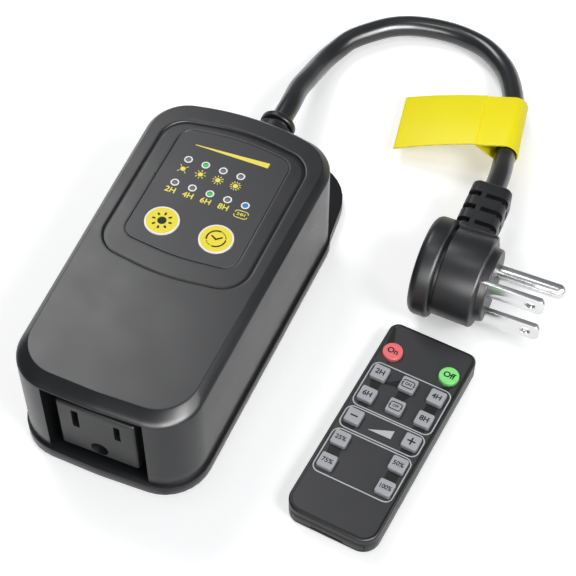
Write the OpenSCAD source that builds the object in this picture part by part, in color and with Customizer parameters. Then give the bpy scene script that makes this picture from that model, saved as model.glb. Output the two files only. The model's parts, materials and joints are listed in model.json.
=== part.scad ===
// Plug-in dimmer: a charcoal casing with one grounded outlet, a cord with a grounded plug,
// and the flat hand remote that goes with it.
// Millimetres, +Z up. The origin is on the casing's underside, at the casing's middle.
// +Y points to the end where the cord leaves, -Y to the end with the outlet.

/* [Casing] */
// Length of the upper shell over its bowed ends
body_len = 111; // [104:0.5:120]
// Half of the width at the outlet end
front_half = 27.2; // [25:0.1:30]
// Half of the width at the cord end
rear_half = 29.3; // [27.5:0.1:32]
// Corner radius of the upright walls
corner_r = 13; // [9:0.5:15]
// How far the outlet end falls away at its corners
front_bow = 0.9; // [0.3:0.1:2]
// How far the cord end falls away at its corners
rear_bow = 5.8; // [3:0.1:7]
// Height of the joint between base and upper shell
seam_z = 3.6; // [3.2:0.1:4.5]
// Height where the upright wall turns into the sloping band
band_z = 34.3; // [33:0.1:36]
// Height of the flat deck above the wall's top
band_h = 3; // [2.6:0.1:4]
// Wall of both shells
wall = 2.4; // [2:0.1:3]
// Thickness of the base plate
floor_t = 2.4; // [2:0.1:2.8]
// How far the base stands proud of the upper shell
base_step = 0.7; // [0.3:0.1:1]
// Clearance of pieces that slip into one another
slip = 0.15; // [0.1:0.05:0.25]

/* [Hanging tab] */
// Length of the tab behind the upper shell
tab_len = 15.5; // [12:0.5:20]
// Radius of the tab's corners
tab_r = 16; // [8:1:18]
// Distance between the two hanging holes
hang_pitch = 28; // [20:1:34]
// Diameter of a hanging hole
hang_d = 4.4; // [3.5:0.1:5]

/* [Deck] */
// Depth of the step round the panel
panel_step = 0.5; // [0.3:0.1:0.8]
// Half of the panel's width
panel_half = 22.6; // [20:0.1:23]
// Front edge of the panel
panel_y0 = -9.2; // [-14:0.1:-6]
// Rear edge of the panel
panel_y1 = 46.8; // [45.5:0.1:48]
// Half of the label's width
label_half = 17.5; // [16:0.1:19]
// Front edge of the label
label_y0 = -1.9; // [-4:0.1:0]
// Rear edge of the label
label_y1 = 44.1; // [40:0.1:45]
// Thickness of the label sheet
label_t = 0.25; // [0.15:0.05:0.4]

/* [Buttons and lights] */
// Diameter of a button
button_d = 10.4; // [9:0.1:12]
// Distance of each button from the middle line
button_x = 8.5; // [8:0.1:10]
// Place of the two buttons along the deck
button_y = 7.8; // [6.5:0.1:9]
// How far a button stands above the label
button_proud = 0.25; // [0.1:0.05:0.6]
// Travel of a button
button_travel = 0.4; // [0.3:0.05:0.5]
// Diameter of a light guide
guide_d = 1.6; // [1.2:0.1:2]
// Distance between light guides
guide_pitch = 5.6; // [5:0.1:6]
// Place of the front row of light guides
guide_y = 22.2; // [20:0.1:24]
// Distance between the two rows
guide_row = 9.4; // [8:0.1:11]

/* [Outlet] */
// Width of the pocket round the outlet face
pocket_w = 30.6; // [29:0.1:33]
// Depth of that pocket
pocket_depth = 8; // [6:0.5:10]
// Width of the outlet face
face_w = 24; // [23:0.1:26]
// Height of the outlet face
face_h = 21.8; // [21:0.1:23]
// Height of the face's lower edge
face_z = 7; // [6:0.1:8]
// How far the face lies behind the casing's front
face_back = 1.8; // [1:0.1:3]
// Length of the outlet block behind its face
block_len = 25; // [24:0.5:28]
// Distance between the two blade slots
slot_pitch = 12.7; // [12.7:0.1:12.7]
// Distance of the ground hole below the slots
ground_drop = 11.9; // [11.9:0.1:11.9]
// Height of the slots above the face's lower edge
slot_up = 15.4; // [15:0.1:16]
// Radius of the ground hole
ground_r = 2.65; // [2.6:0.05:2.8]
// Thickness of the contact metal
contact_t = 0.7; // [0.5:0.1:0.9]

/* [Cord and plug] */
// Diameter of the cord
cord_d = 6.8; // [6:0.1:7.5]
// Diameter of the gland
gland_d = 11.5; // [10:0.1:13]
// Height of the gland's middle
gland_z = 15; // [13:0.5:18]
// How far the gland stands out of the wall
gland_len = 17.9; // [15:0.1:20]
// Diameter of the plug's finger rim
rim_d = 30.4; // [29:0.1:32]
// Diameter of the plug body behind its face
plug_d = 27.4; // [26:0.1:28.5]
// Thickness of the finger rim
rim_t = 6.5; // [5:0.5:8]
// Length of the plug body in front of the rim
plug_len = 13; // [11:0.5:15]
// Height of the raised island that carries the pins
island_t = 2.5; // [1.5:0.1:3]
// Length of the strain relief from the plug's middle
relief_len = 32.7; // [28:0.1:38]
// Length of a blade in front of the island
blade_len = 17; // [15.9:0.1:18.2]
// Width of a blade
blade_w = 6.35; // [6.35:0.01:6.35]
// Thickness of a blade
blade_t = 1.52; // [1.4:0.01:1.65]
// Diameter of the ground pin
ground_pin_d = 4.76; // [4.7:0.01:4.85]
// Length of the ground pin in front of the island
ground_pin_len = 20.6; // [19:0.1:21.5]
// Width of the folded cord tag along the cord
tag_h = 23; // [20:1:28]
// How far the tag stands out from the cord
tag_w = 36; // [30:1:42]

/* [Remote] */
// Width of the remote
remote_w = 27.6; // [26.5:0.1:30]
// Length of the remote
remote_l = 69.8; // [64:0.1:72]
// Thickness of the remote's case
remote_t = 6.5; // [6.5:0.1:7]
// Side of a square key
key_side = 4.8; // [4.2:0.1:5.4]
// Diameter of a round key
round_key_d = 6; // [5.4:0.1:6.4]
// Distance between key columns
key_dx = 9; // [8.6:0.05:9.3]
// Distance between key rows
key_dy = 8.32; // [7.6:0.01:8.5]
// How far the keys stand above the case
key_proud = 1.2; // [0.8:0.1:1.6]
// Travel of a key
key_travel = 0.4; // [0.3:0.05:0.4]
// Diameter of the coin cell
cell_d = 20; // [20:0.1:20]
// Height of the coin cell
cell_h = 2.5; // [2:0.1:2.5]

/* [Hidden] */

charcoal = [0.20, 0.205, 0.215];
dark = [0.13, 0.13, 0.14];
steel = [0.78, 0.79, 0.80];
brass = [0.80, 0.66, 0.33];
green_board = [0.07, 0.30, 0.17];

deck_z = band_z + band_h;
front_y = -body_len/2;
rear_y = body_len/2;

// Outline points.
// A control list holds [x, y, r] corners; the outline rounds each corner with its own radius.
function unit(v) = v/norm(v);
function fillet(a, p, b, r) =
  let(u = unit(a - p), v = unit(b - p), half = acos(u*v)/2,
      c = p + unit(u + v)*r/sin(half), s = p + u*r/tan(half) - c,
      turn = (180 - 2*half)*sign(cross(-u, v)), n = r > 30 || r < 1.6 ? 3 : 8)
  [for (k = [0:n]) let(w = turn*k/n) c + [s.x*cos(w) - s.y*sin(w), s.x*sin(w) + s.y*cos(w)]];
function rounded(q) = let(m = len(q)) [for (i = [0:m - 1]) let(
    a = q[(i + m - 1)%m], p = q[i], b = q[(i + 1)%m])
  each fillet([a.x, a.y], [p.x, p.y], [b.x, b.y], p[2])];
function both_sides(right) = concat(right,
  [for (i = [len(right) - 1:-1:0]) if (right[i].x > 0) [-right[i].x, right[i].y, right[i][2]]]);
// Rise of a control corner above the arc that blends a bowed end
function peak(r, bow, half) = r*(1/cos(atan(bow/half)) - 1);
// An outline with two bowed ends: y of the ends, their half widths, bows and corner radius
function bowed(y0, h0, bow0, y1, h1, bow1, r, blend) = let(
    c0 = y0 - peak(blend, bow0, h0), c1 = y1 + peak(blend, bow1, h1))
  both_sides([[0, c0, blend], [h0, c0 + bow0, r], [h1, c1 - bow1, r], [0, c1, blend]]);

end_blend = 80;
function shell_outline(d) = bowed(front_y + d, front_half - d, front_bow,
  rear_y - d, rear_half - d, rear_bow, corner_r - d, end_blend);
// The deck is narrower than the walls by these amounts
deck_in_front = 2.6;
deck_in_rear = 2;
deck_in_ends = [4.1, 2.4];
deck_outline = bowed(front_y + deck_in_ends[0], front_half - deck_in_front, front_bow,
  rear_y - deck_in_ends[1], rear_half - deck_in_rear, rear_bow, corner_r - 1.5, end_blend);
function between(t) = shell_outline(0)*(1 - t) + deck_outline*t;

panel_outline = bowed(panel_y0, panel_half - 0.4, 3.2, panel_y1, panel_half, rear_bow - 2, 8, 60);
label_outline = bowed(label_y0, label_half, 1.8, label_y1, label_half, 2.6, 4.5, 60);
tab_root_y = rear_y - corner_r - 6;
tab_root_half = base_step + front_half + (rear_half - front_half)*(tab_root_y - front_y)/body_len;
tab_outline = both_sides([[rear_half - 3, tab_root_y - 8, 0.5], [tab_root_half, tab_root_y, 6], [rear_half - 2.9, rear_y + tab_len, tab_r],
  [0, rear_y + tab_len + 0.4, 60]]);

module plate(outline, z, t) translate([0, 0, z]) linear_extrude(t) polygon(rounded(outline));
// A block through outlines at rising heights, each [outline, z], with as many corners on each
module loft(levels) {
  rings = [for (v = levels) [for (p = rounded(v[0])) [p.x, p.y, v[1]]]];
  n = len(rings[0]);
  m = len(rings);
  polyhedron([for (r = rings) each r], concat([[for (j = [0:n - 1]) j]],
    [for (i = [0:m - 2], j = [0:n - 1]) let(a = i*n + j, b = i*n + (j + 1)%n) each [[a, a + n, b], [b, a + n, b + n]]],
    [[for (j = [n - 1:-1:0]) (m - 1)*n + j]]));
}
// A box from its low corner to its high corner
module box(a, b) translate(a) cube(b - a);
module rounded_box(a, b, r) translate([0, 0, a.z]) linear_extrude(b.z - a.z)
  polygon(rounded([[a.x, a.y, r], [b.x, a.y, r], [b.x, b.y, r], [a.x, b.y, r]]));

// Casing screws
screw_d = 2.9;
screw_head_d = 5.8;
screw_sink = 1.6;
screw_len = 12;
boss_d = 7;
boss_at = [for (s = [-1, 1], f = [0, 1])
  [s*(f == 0 ? front_half - wall - boss_d/2 + 0.6 : rear_half - wall - boss_d/2 - 1.5),
   f == 0 ? front_y + corner_r + 4.5 : rear_y - corner_r - 0.5]];

// Deck levels
panel_z = deck_z - panel_step;
roof_t = 2.2;
roof_z = panel_z - roof_t;
guide_at = [for (r = [0, 1], i = [0:4 - r]) [guide_pitch*(i - 2), guide_y + guide_row*r]];
green_guides = [2, 6];
blue_guides = [4];
clear_guides = [0, 1, 3, 5, 7, 8];

// Control board below the deck
board_t = 1.6;
switch_h = 2.9;
press_gap = 0.45;
actuator_len = 1.4;
button_flange_t = 0.9;
button_low_z = roof_z - 0.1 - button_flange_t - actuator_len;
control_z = button_low_z - press_gap - switch_h - board_t;
control_half = 21;
control_y = [-4, 37.5];
control_posts = [for (s = [-1, 1], y = [control_y[0] + 3, control_y[1] - 4]) [s*(control_half - 3), y]];

// Outlet
pocket_y = front_y + pocket_depth;
pocket_wall = 1.6;
pocket_top = band_z - 0.2;
face_y = front_y + face_back;
block_end = face_y + block_len;
slot_z = face_z + slot_up;
ground_z = slot_z - ground_drop;
neutral_slot = [2.1, 7.9];
hot_slot = [1.9, 6.6];
slot_skin = 3.5;
ground_skin = 7.5;
flange_y = pocket_y + pocket_wall;
flange_t = 3;
flange_out = 1.6;

// Power board above the base
power_z = 7;
power_half = 21.5;
power_y = [block_end + 4.7, rear_y - 19.5];
power_top = power_z + board_t;
power_posts = [for (s = [-1, 1], y = [power_y[0] + 4, power_y[1] - 4]) [s*(power_half - 4), y]];

// Upright walls and the band above them
module shell_block() loft([[shell_outline(0), seam_z], [shell_outline(0), band_z],
  [between(0.42), band_z + 0.68*band_h], [between(0.72), band_z + 0.91*band_h], [deck_outline, deck_z]]);

module base_shell() color(charcoal) {
  difference() {
    union() {
      plate(shell_outline(-base_step), 0, seam_z);
      plate(tab_outline, 0, seam_z);
    }
    difference() {
      plate(shell_outline(wall + slip + lip_t), floor_t, seam_z);
      for (p = boss_at) translate([p.x, p.y, 0]) cylinder(h = seam_z, d = boss_d + 2, $fn = 40);
      box([-pocket_w/2 - pocket_wall, front_y - 2, 0],
          [pocket_w/2 + pocket_wall, flange_y, seam_z]);
    }
    for (p = boss_at) translate([p.x, p.y, -1]) {
      cylinder(h = 1 + screw_sink, d = screw_head_d + 0.4, $fn = 40);
      cylinder(h = seam_z + 2, d = screw_d + 0.4, $fn = 32);
    }
    for (s = [-1, 1]) translate([s*hang_pitch/2, rear_y + tab_len/2 - 0.75, -1])
      cylinder(h = seam_z + 2, d = hang_d, $fn = 40);
  }
  base_lip();
  for (p = power_posts) translate([p.x, p.y, floor_t]) difference() {
    cylinder(h = power_z - floor_t, d = 6, $fn = 32);
    translate([0, 0, 1]) cylinder(h = power_z, d = 2, $fn = 24);
  }
}

// Lip on the base that the upper shell slips over
lip_t = 1.2;
lip_h = 2;
module base_lip() difference() {
  plate(shell_outline(wall + slip), seam_z - 0.01, lip_h);
  plate(shell_outline(wall + slip + lip_t), seam_z - 1, lip_h + 2);
  box([-pocket_w/2 - pocket_wall - 0.3, front_y - 1, 0],
      [pocket_w/2 + pocket_wall + 0.3, flange_y + 1, 20]);
  for (p = boss_at) translate([p.x, p.y, 0]) cylinder(h = 20, d = boss_d + 0.6, $fn = 40);
}

module top_shell() color(charcoal) difference() {
  shell_block();
  plate(panel_outline, panel_z, panel_step + 1);
  plate(label_outline, panel_z - label_t, label_t + 1);
  difference() {
    union() {
      plate(shell_outline(wall), seam_z - 1, band_z - seam_z);
      rounded_box([-front_half + wall + 3, front_y + wall + 3, band_z - 2],
        [front_half - wall - 3, rear_y - wall - 5, roof_z], 7);
    }
    for (p = boss_at) translate([p.x, p.y, 0]) cylinder(h = deck_z - 1, d = boss_d, $fn = 40);
    for (p = control_posts) translate([p.x, p.y, control_z + board_t])
      cylinder(h = deck_z - 1 - control_z - board_t, d = 5, $fn = 32);
    box([-pocket_w/2 - pocket_wall, front_y, seam_z - 2],
        [pocket_w/2 + pocket_wall, flange_y, deck_z]);
  }
  box([-pocket_w/2, front_y - 1, seam_z - 1], [pocket_w/2, pocket_y, pocket_top]);
  box([-face_w/2 - slip, pocket_y - 1, face_z - slip],
      [face_w/2 + slip, flange_y + 1, face_z + face_h + slip]);
  for (p = boss_at) translate([p.x, p.y, seam_z - 1])
    cylinder(h = screw_len - screw_sink + 1.5, d = screw_d + 0.1, $fn = 32);
  for (p = control_posts) translate([p.x, p.y, control_z])
    cylinder(h = board_t + 5, d = 1.7, $fn = 24);
  for (s = [-1, 1]) translate([s*button_x, button_y, 0])
    cylinder(h = deck_z + 2, d = button_d + 0.3, $fn = 64);
  for (p = guide_at) translate([p.x, p.y, roof_z - 1])
    cylinder(h = 5, d = guide_d + 0.1, $fn = 32);
  translate([0, rear_y - 8, gland_z]) rotate([-90, 0, 0])
    cylinder(h = 12, d = gland_neck + 2*slip, $fn = 48);
}

module label_overlay() color([0.35, 0.355, 0.37]) difference() {
  plate(label_outline, panel_z - label_t, label_t);
  for (s = [-1, 1]) translate([s*button_x, button_y, 0])
    cylinder(h = deck_z + 2, d = button_d + 0.3, $fn = 64);
  for (p = guide_at) translate([p.x, p.y, 0]) cylinder(h = deck_z + 2, d = guide_d + 0.1, $fn = 32);
}

module casing_screws() color(steel) for (p = boss_at) translate([p.x, p.y, 0]) difference() {
  union() {
    translate([0, 0, 0.3]) cylinder(h = screw_sink - 0.3, d = screw_head_d, $fn = 40);
    translate([0, 0, screw_sink]) cylinder(h = screw_len, d = screw_d, $fn = 32);
  }
  for (a = [0, 90]) rotate(a) translate([-1.6, -0.35, 0]) cube([3.2, 0.7, 0.9]);
}

module deck_button() {
  top = panel_z + button_proud;
  flange = roof_z - 0.1;
  cylinder(h = flange - button_flange_t - button_low_z, d = 3, $fn = 32);
  translate([0, 0, flange - button_flange_t - button_low_z])
    cylinder(h = button_flange_t, d = button_d + 2.2, $fn = 64);
  translate([0, 0, flange - button_low_z - 0.01])
    cylinder(h = top - 0.25 - flange + 0.01, d = button_d, $fn = 64);
  translate([0, 0, top - 0.25 - button_low_z])
    cylinder(h = 0.25, d1 = button_d, d2 = button_d - 0.5, $fn = 64);
}
module brightness_button() color([0.98, 0.91, 0.24])
  translate([-button_x, button_y, button_low_z]) deck_button();
module timer_button() color([0.98, 0.91, 0.24])
  translate([button_x, button_y, button_low_z]) deck_button();

led_h = 1.1;
module light_guides(which) for (i = which) translate([guide_at[i].x, guide_at[i].y, 0]) {
  translate([0, 0, control_z + board_t + led_h + 0.2])
    cylinder(h = panel_z - control_z - board_t - led_h - 0.2, d = guide_d, $fn = 32);
  translate([0, 0, roof_z - 0.8]) cylinder(h = 0.8, d = guide_d + 1, $fn = 32);
}
module light_guides_clear() color([0.62, 0.63, 0.65]) light_guides(clear_guides);
module light_guides_green() color([0.20, 0.78, 0.35]) light_guides(green_guides);
module light_guide_blue() color([0.12, 0.53, 0.78]) light_guides(blue_guides);

// Outlet block: the face stands through the pocket's back wall, the flange bears behind it
module receptacle_body() color([0.33, 0.335, 0.35]) difference() {
  union() {
    translate([0, block_end, 0]) rotate([90, 0, 0]) linear_extrude(block_len)
      polygon(rounded([for (p = [[-1, 0], [1, 0], [1, 1], [-1, 1]])
        [p.x*face_w/2, face_z + p.y*face_h, 1.5]]));
    box([-face_w/2 - flange_out, flange_y, face_z - flange_out],
        [face_w/2 + flange_out, flange_y + flange_t, face_z + face_h + flange_out]);
  }
  blade_room(-slot_pitch/2, neutral_slot);
  blade_room(slot_pitch/2, hot_slot);
  // The ground hole is round above and flat below
  difference() {
    translate([0, face_y - 1, ground_z]) rotate([-90, 0, 0])
      cylinder(h = ground_skin + 1.01, r = ground_r, $fn = 64);
    box([-ground_r, face_y - 2, ground_z - ground_r - 1],
        [ground_r, face_y + ground_skin + 1, ground_z - ground_flat]);
  }
  translate([0, face_y + ground_skin, ground_z]) rotate([-90, 0, 0])
    cylinder(h = block_len, r = ground_room, $fn = 48);
}
ground_flat = 2.5;
ground_room = 3.5;
room_w = 4.6;
module blade_room(x, slot) {
  box([x - slot.x/2, face_y - 1, slot_z - slot.y/2],
      [x + slot.x/2, face_y + slot_skin + 0.1, slot_z + slot.y/2]);
  box([x - room_w/2, face_y + slot_skin, slot_z - slot.y/2 - 0.6],
      [x + room_w/2, block_end + 1, slot_z + slot.y/2 + 0.6]);
}

tail_len = 4;
// Two leaves that grip a blade, joined by a strap, with a solder tail behind
module blade_contact(x, slot) {
  y0 = face_y + slot_skin + 0.4;
  y1 = block_end - 1.5;
  leaf = blade_t/2 + 0.05;
  h = slot.y/2 - 0.4;
  for (s = [-1, 1]) translate([x, 0, slot_z]) rotate(0) translate([0, 0, -h]) linear_extrude(2*h)
    polygon([[s*(leaf + 0.7), y0], [s*(leaf + 0.7 + contact_t), y0], [s*(leaf + contact_t), y0 + 3],
             [s*(leaf + contact_t + 0.4), y1], [s*(leaf + 0.4), y1], [s*leaf, y0 + 3]]);
  box([x - leaf - 0.4 - contact_t, y1 - 0.01, slot_z - h],
      [x + leaf + 0.4 + contact_t, y1 + contact_t, slot_z + h]);
  box([x - contact_t/2, y1, slot_z - 1.5], [x + contact_t/2, block_end + tail_len, slot_z + 1.5]);
}
module neutral_contact() color(brass) blade_contact(-slot_pitch/2, neutral_slot);
module hot_contact() color(brass) blade_contact(slot_pitch/2, hot_slot);
module ground_contact() color(brass) {
  y0 = face_y + ground_skin + 0.4;
  difference() {
    translate([0, y0, ground_z]) rotate([-90, 0, 0])
      cylinder(h = block_end - 1.5 - y0, r = ground_pin_d/2 + 0.1 + contact_t, $fn = 48);
    translate([0, y0 - 1, ground_z]) rotate([-90, 0, 0])
      cylinder(h = block_end - 1 - y0, r = ground_pin_d/2 + 0.1, $fn = 48);
    box([-0.5, y0 - 1, ground_z], [0.5, block_end - 6, ground_z + 5]);
  }
  translate([0, block_end - 1.51, ground_z]) rotate([-90, 0, 0])
    cylinder(h = contact_t, r = ground_pin_d/2 + 0.1 + contact_t, $fn = 48);
  box([-1.5, block_end - 1.5, ground_z - contact_t/2],
      [1.5, block_end + tail_len, ground_z + contact_t/2]);
}

// Boards and what stands on them
module control_board() color(green_board) difference() {
  rounded_box([-control_half, control_y[0], control_z],
    [control_half, control_y[1], control_z + board_t], 2);
  for (p = control_posts) translate([p.x, p.y, control_z - 1])
    cylinder(h = board_t + 2, d = board_screw_d + 0.2, $fn = 24);
}
module control_chip() color(dark) {
  box([-4, 13, control_z - 1.5], [4, 20, control_z]);
  for (s = [-1, 1], i = [0:5]) box([s*4.6 - 0.6, 13.7 + i*1.1, control_z - 0.25],
    [s*4.6 + 0.6, 14.1 + i*1.1, control_z]);
}
module tact_switches() color([0.25, 0.25, 0.27]) for (s = [-1, 1])
  translate([s*button_x, button_y, control_z + board_t]) {
    rounded_box([-3, -3, 0], [3, 3, switch_h - 0.7], 0.4);
    translate([0, 0, switch_h - 0.71]) cylinder(h = 0.71, d = 3.2, $fn = 32);
  }
module leds() color([0.93, 0.92, 0.85]) for (p = guide_at)
  translate([p.x, p.y, control_z + board_t]) {
    box([-0.8, -0.8, 0], [0.8, 0.8, 0.5]);
    translate([0, 0, 0.49]) cylinder(h = led_h - 0.49, d = 1.2, $fn = 24);
  }
module radio_module() color([0.10, 0.22, 0.45]) {
  box([4, 26, control_z - 2.2], [16, 33, control_z - 1.2]);
  for (i = [0:3]) box([5 + i*3, 26.6, control_z - 1.2], [5.6 + i*3, 27.2, control_z]);
  box([6, 28.4, control_z - 3.2], [11, 31.6, control_z - 2.2]);
}
antenna_turns = 7;
module antenna_coil() color([0.85, 0.52, 0.30]) {
  // Turns of the aerial as rings on one straight stem
  for (i = [0:antenna_turns - 1]) translate([-17 + i*1.3, 30, control_z - 3.4]) rotate([0, 90, 0])
    rotate_extrude($fn = 24) translate([1.9, 0]) circle(d = 0.7, $fn = 14);
  translate([-17.4, 30, control_z - 1.5]) rotate([0, 90, 0])
    cylinder(h = antenna_turns*1.3, d = 0.7, $fn = 16);
  translate([-17, 30, control_z - 1.5]) cylinder(h = 1.5, d = 0.7, $fn = 16);
}

board_screw_d = 1.6;
module power_board() color(green_board) difference() {
  rounded_box([-power_half, power_y[0], power_z], [power_half, power_y[1], power_top], 2);
  for (p = power_posts) translate([p.x, p.y, power_z - 1])
    cylinder(h = board_t + 2, d = board_screw_d + 0.2, $fn = 24);
}
module board_screws() color(steel) {
  for (p = power_posts) translate([p.x, p.y, power_top]) {
    cylinder(h = 1.2, d = 3.2, $fn = 24);
    translate([0, 0, -board_t - 3]) cylinder(h = board_t + 3.01, d = board_screw_d, $fn = 24);
  }
  for (p = control_posts) translate([p.x, p.y, control_z]) {
    translate([0, 0, -1.2]) cylinder(h = 1.2, d = 3.2, $fn = 24);
    translate([0, 0, -0.01]) cylinder(h = board_t + 4, d = board_screw_d, $fn = 24);
  }
}

sink_x = -17;
sink_w = 9;
// Parts of the power board stand at these distances from its outlet end
sink_y = power_y[0] + 28;
module heat_sink() color([0.75, 0.76, 0.78]) {
  box([sink_x + sink_w - 2, sink_y, power_top], [sink_x + sink_w, sink_y + 22, power_top + 14]);
  for (i = [0:5]) box([sink_x, sink_y + i*4, power_top],
    [sink_x + sink_w - 1.99, sink_y + 2 + i*4, power_top + 14]);
}
module triac() color(dark) translate([sink_x + sink_w, sink_y + 11, power_top]) {
  box([1.3, -5, 3.5], [4.5, 5, 12]);
  difference() {
    box([0, -5, 3.5], [1.3, 5, 13.8]);
    translate([-1, 0, 12.6]) rotate([0, 90, 0]) cylinder(h = 3, d = 1.6, $fn = 24);
  }
  for (i = [-1:1]) box([2, i*2.54 - 0.4, 0], [2.6, i*2.54 + 0.4, 3.51]);
}
choke_at = [9, power_y[0] + 13];
module choke() color([0.72, 0.42, 0.20]) translate([choke_at.x, choke_at.y, power_top + 4.6]) {
  rotate_extrude($fn = 48) polygon([[4.6, -3], [8.6, -3], [8.6, 3], [4.6, 3]]);
  for (a = [-60:30:60], s = [0, 180]) rotate(a + s) translate([6.6, 0, 0]) rotate([90, 0, 0])
    linear_extrude(1.4, center = true)
      polygon(rounded([[-3.2, -4.6, 1.5], [3.2, -4.6, 1.5], [3.2, 4.6, 1.5], [-3.2, 4.6, 1.5]]));
}
module film_capacitor() color([0.85, 0.72, 0.25])
  rounded_box([-17, power_y[0] + 8, power_top], [-2, power_y[0] + 16, power_top + 13], 1);
module varistor() color([0.16, 0.36, 0.62]) translate([14.5, power_y[0] + 27, power_top + 7]) {
  rotate([90, 0, 0]) cylinder(h = 4, d = 10, center = true, $fn = 48);
  for (s = [-1, 1]) translate([s*2.5, 0, -7]) cylinder(h = 3.5, d = 0.8, $fn = 16);
}
module fuse() color([0.85, 0.86, 0.84]) translate([18.5, power_y[0] + 32, power_top + 2.7]) rotate([-90, 0, 0]) {
  translate([0, 0, 3]) cylinder(h = 14, d = 4.4, $fn = 32);
  for (y = [0, 16]) translate([0, 0, y - 0.01]) cylinder(h = 4, d = 5.2, $fn = 32);
}
module smoothing_capacitor() color([0.20, 0.22, 0.30]) translate([8, power_y[0] + 46, power_top]) {
  cylinder(h = 11.5, d = 8, $fn = 48);
  translate([0, 0, 11.49]) cylinder(h = 0.5, d1 = 8, d2 = 7.2, $fn = 48);
}

// Round leads and the cord, swept along points that are joined by smooth curves
function smooth_at(p, i, t) = let(n = len(p) - 1,
    a = p[max(i - 1, 0)], b = p[i], c = p[min(i + 1, n)], d = p[min(i + 2, n)])
  0.5*(2*b + (c - a)*t + (2*a - 5*b + 4*c - d)*t*t + (3*b - a - 3*c + d)*t*t*t);
function smooth_path(p, k) = concat([for (i = [0:len(p) - 2], j = [0:k - 1]) smooth_at(p, i, j/k)],
  [p[len(p) - 1]]);
module tube(points, d, sides, k) {
  q = smooth_path(points, k);
  m = len(q);
  ring = [for (i = [0:m - 1]) let(
      dir = unit(q[min(i + 1, m - 1)] - q[max(i - 1, 0)]),
      side = unit(cross(dir, abs(dir.z) > 0.9 ? [0, 1, 0] : [0, 0, 1])), up = cross(side, dir))
    each [for (j = [0:sides - 1]) q[i] + d/2*(side*cos(360*j/sides) + up*sin(360*j/sides))]];
  polyhedron(ring, concat([[for (j = [0:sides - 1]) j]],
    [for (i = [0:m - 2], j = [0:sides - 1]) let(a = i*sides + j, b = i*sides + (j + 1)%sides)
      [a, a + sides, b + sides, b]],
    [[for (j = [sides - 1:-1:0]) (m - 1)*sides + j]]));
}

lead_d = 1.9;
gland_in_y = rear_y - wall - 3;
board_lead_z = power_top + lead_d/2 + 0.05;
module side_leads(s) {
  tube([[s*2.2, gland_in_y - 0.1, gland_z], [s*2.5, gland_in_y - 1.3, gland_z - 0.1],
        [s*6, gland_in_y - 5.1, gland_z - 1.8], [s*9.5, gland_in_y - 9.1, gland_z - 3.4],
        [s*11, power_y[1] + 1.4, power_top + 2], [s*11, power_y[1] - 2.4, board_lead_z]], lead_d, 8, 2);
  tube([[s*13.2, power_y[0] + 2, board_lead_z], [s*12.6, power_y[0] - 0.2, power_top + 2.9],
        [s*10, block_end + 3.1, slot_z - 5.4],
        [s*(slot_pitch/2 + 1.4), block_end + 2.5, slot_z - 0.4]], lead_d, 8, 2);
}
module hot_leads() color([0.12, 0.12, 0.12]) side_leads(1);
module neutral_leads() color([0.90, 0.90, 0.88]) side_leads(-1);
module ground_lead() color([0.15, 0.50, 0.22])
  tube([[0, gland_in_y - 0.1, gland_z - 2.6], [0, gland_in_y - 1.3, gland_z - 2.8], [0, gland_in_y - 5.1, gland_z - 6.5],
        [0, gland_in_y - 8.6, ground_low + 1.5], [0, gland_in_y - 13, ground_low], [0, gland_in_y - 25, ground_low],
        [0, power_y[0] + 20, ground_low], [0, power_y[0] + 5, ground_low],
        [0, block_end + 3.3, ground_z - 4.2], [0, block_end + 2.5, ground_z - contact_t/2 - lead_d/2]], lead_d, 8, 2);
ground_low = floor_t + lead_d/2 + 0.3;

// Moulded gland: inner flange, neck in the wall, ribbed sleeve outside
gland_neck = 9;
gland_flange_t = 2.8;
gland_end_y = rear_y + gland_len;
module cord_gland() color(dark) translate([0, gland_in_y, gland_z]) rotate([-90, 0, 0]) {
  inside = rear_y - wall - slip - 0.4 - gland_in_y;
  out = rear_y + 0.1 - gland_in_y;
  end = gland_end_y - gland_in_y;
  r = gland_d/2;
  rotate_extrude($fn = 64) polygon([[0, 0], [r, 0], [r, inside], [gland_neck/2, inside],
    [gland_neck/2, out], [r - 0.5, out], [r, out + 0.5],
    [r, end - 4.4], [r - 0.4, end - 4], [r - 1.5, end - 4], [r - 1.5, end - gland_flange_t],
    [r - 0.4, end - gland_flange_t], [r, end - gland_flange_t + 0.4],
    [r, end - 0.9], [r - 0.9, end], [0, end]]);
}

// Plug, lying on its side: pins along +X, cord towards +Y
plug_x = 61;
plug_y = 38.6;
plug_z = rim_d/2;
body_x = plug_x + rim_t;
plug_face_x = body_x + plug_len;
island_x = plug_face_x + island_t;
relief_x = 71.6;
relief_w = 12.6;
relief_h = 11.6;
relief_pitch = 5.45;
relief_cut = 2;
blade_y = plug_y - 6.2;
ground_pin_y = blade_y + ground_drop;

// Route of the cord, chosen by hand: out of the gland, down to the floor, round and up to the plug
cord_route = [[0, gland_end_y, gland_z], [0, 82, 14.6], [-1, 91, 12.2], [-1, 99, 9.5], [-1, 107, 6.5],
  [-0.5, 114, 4.4], [1, 120, 3.5], [3.5, 126, 3.5], [8, 131.5, 3.5], [14, 137, 3.5],
  [21, 140.5, 3.5], [30, 142.3, 3.5], [39, 142, 3.5], [48, 139, 3.5], [56.5, 131.5, 3.6],
  [62, 121, 5], [66, 110, 7.2], [68.5, 99.5, 9.8], [70.4, 90, 12.4], [71.4, 81, 14.6],
  [relief_x, plug_y + relief_len, plug_z]];
module power_cord() color(dark) tube(cord_route, cord_d, 10, 2);

// Folded tag: a loop round the cord and a two-ply flag that droops to the left
tag_mid = [68.2, 100.4, 9.7];
tag_turn = [-14, 0, 12.7];
tag_sheet = 0.5;
tag_loop = cord_d/2 + 0.7;
function tag_fall(u) = tag_loop - 0.0045*u*u;
tag_apex = [-10, tag_fall(10) - tag_sheet/2];
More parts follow.
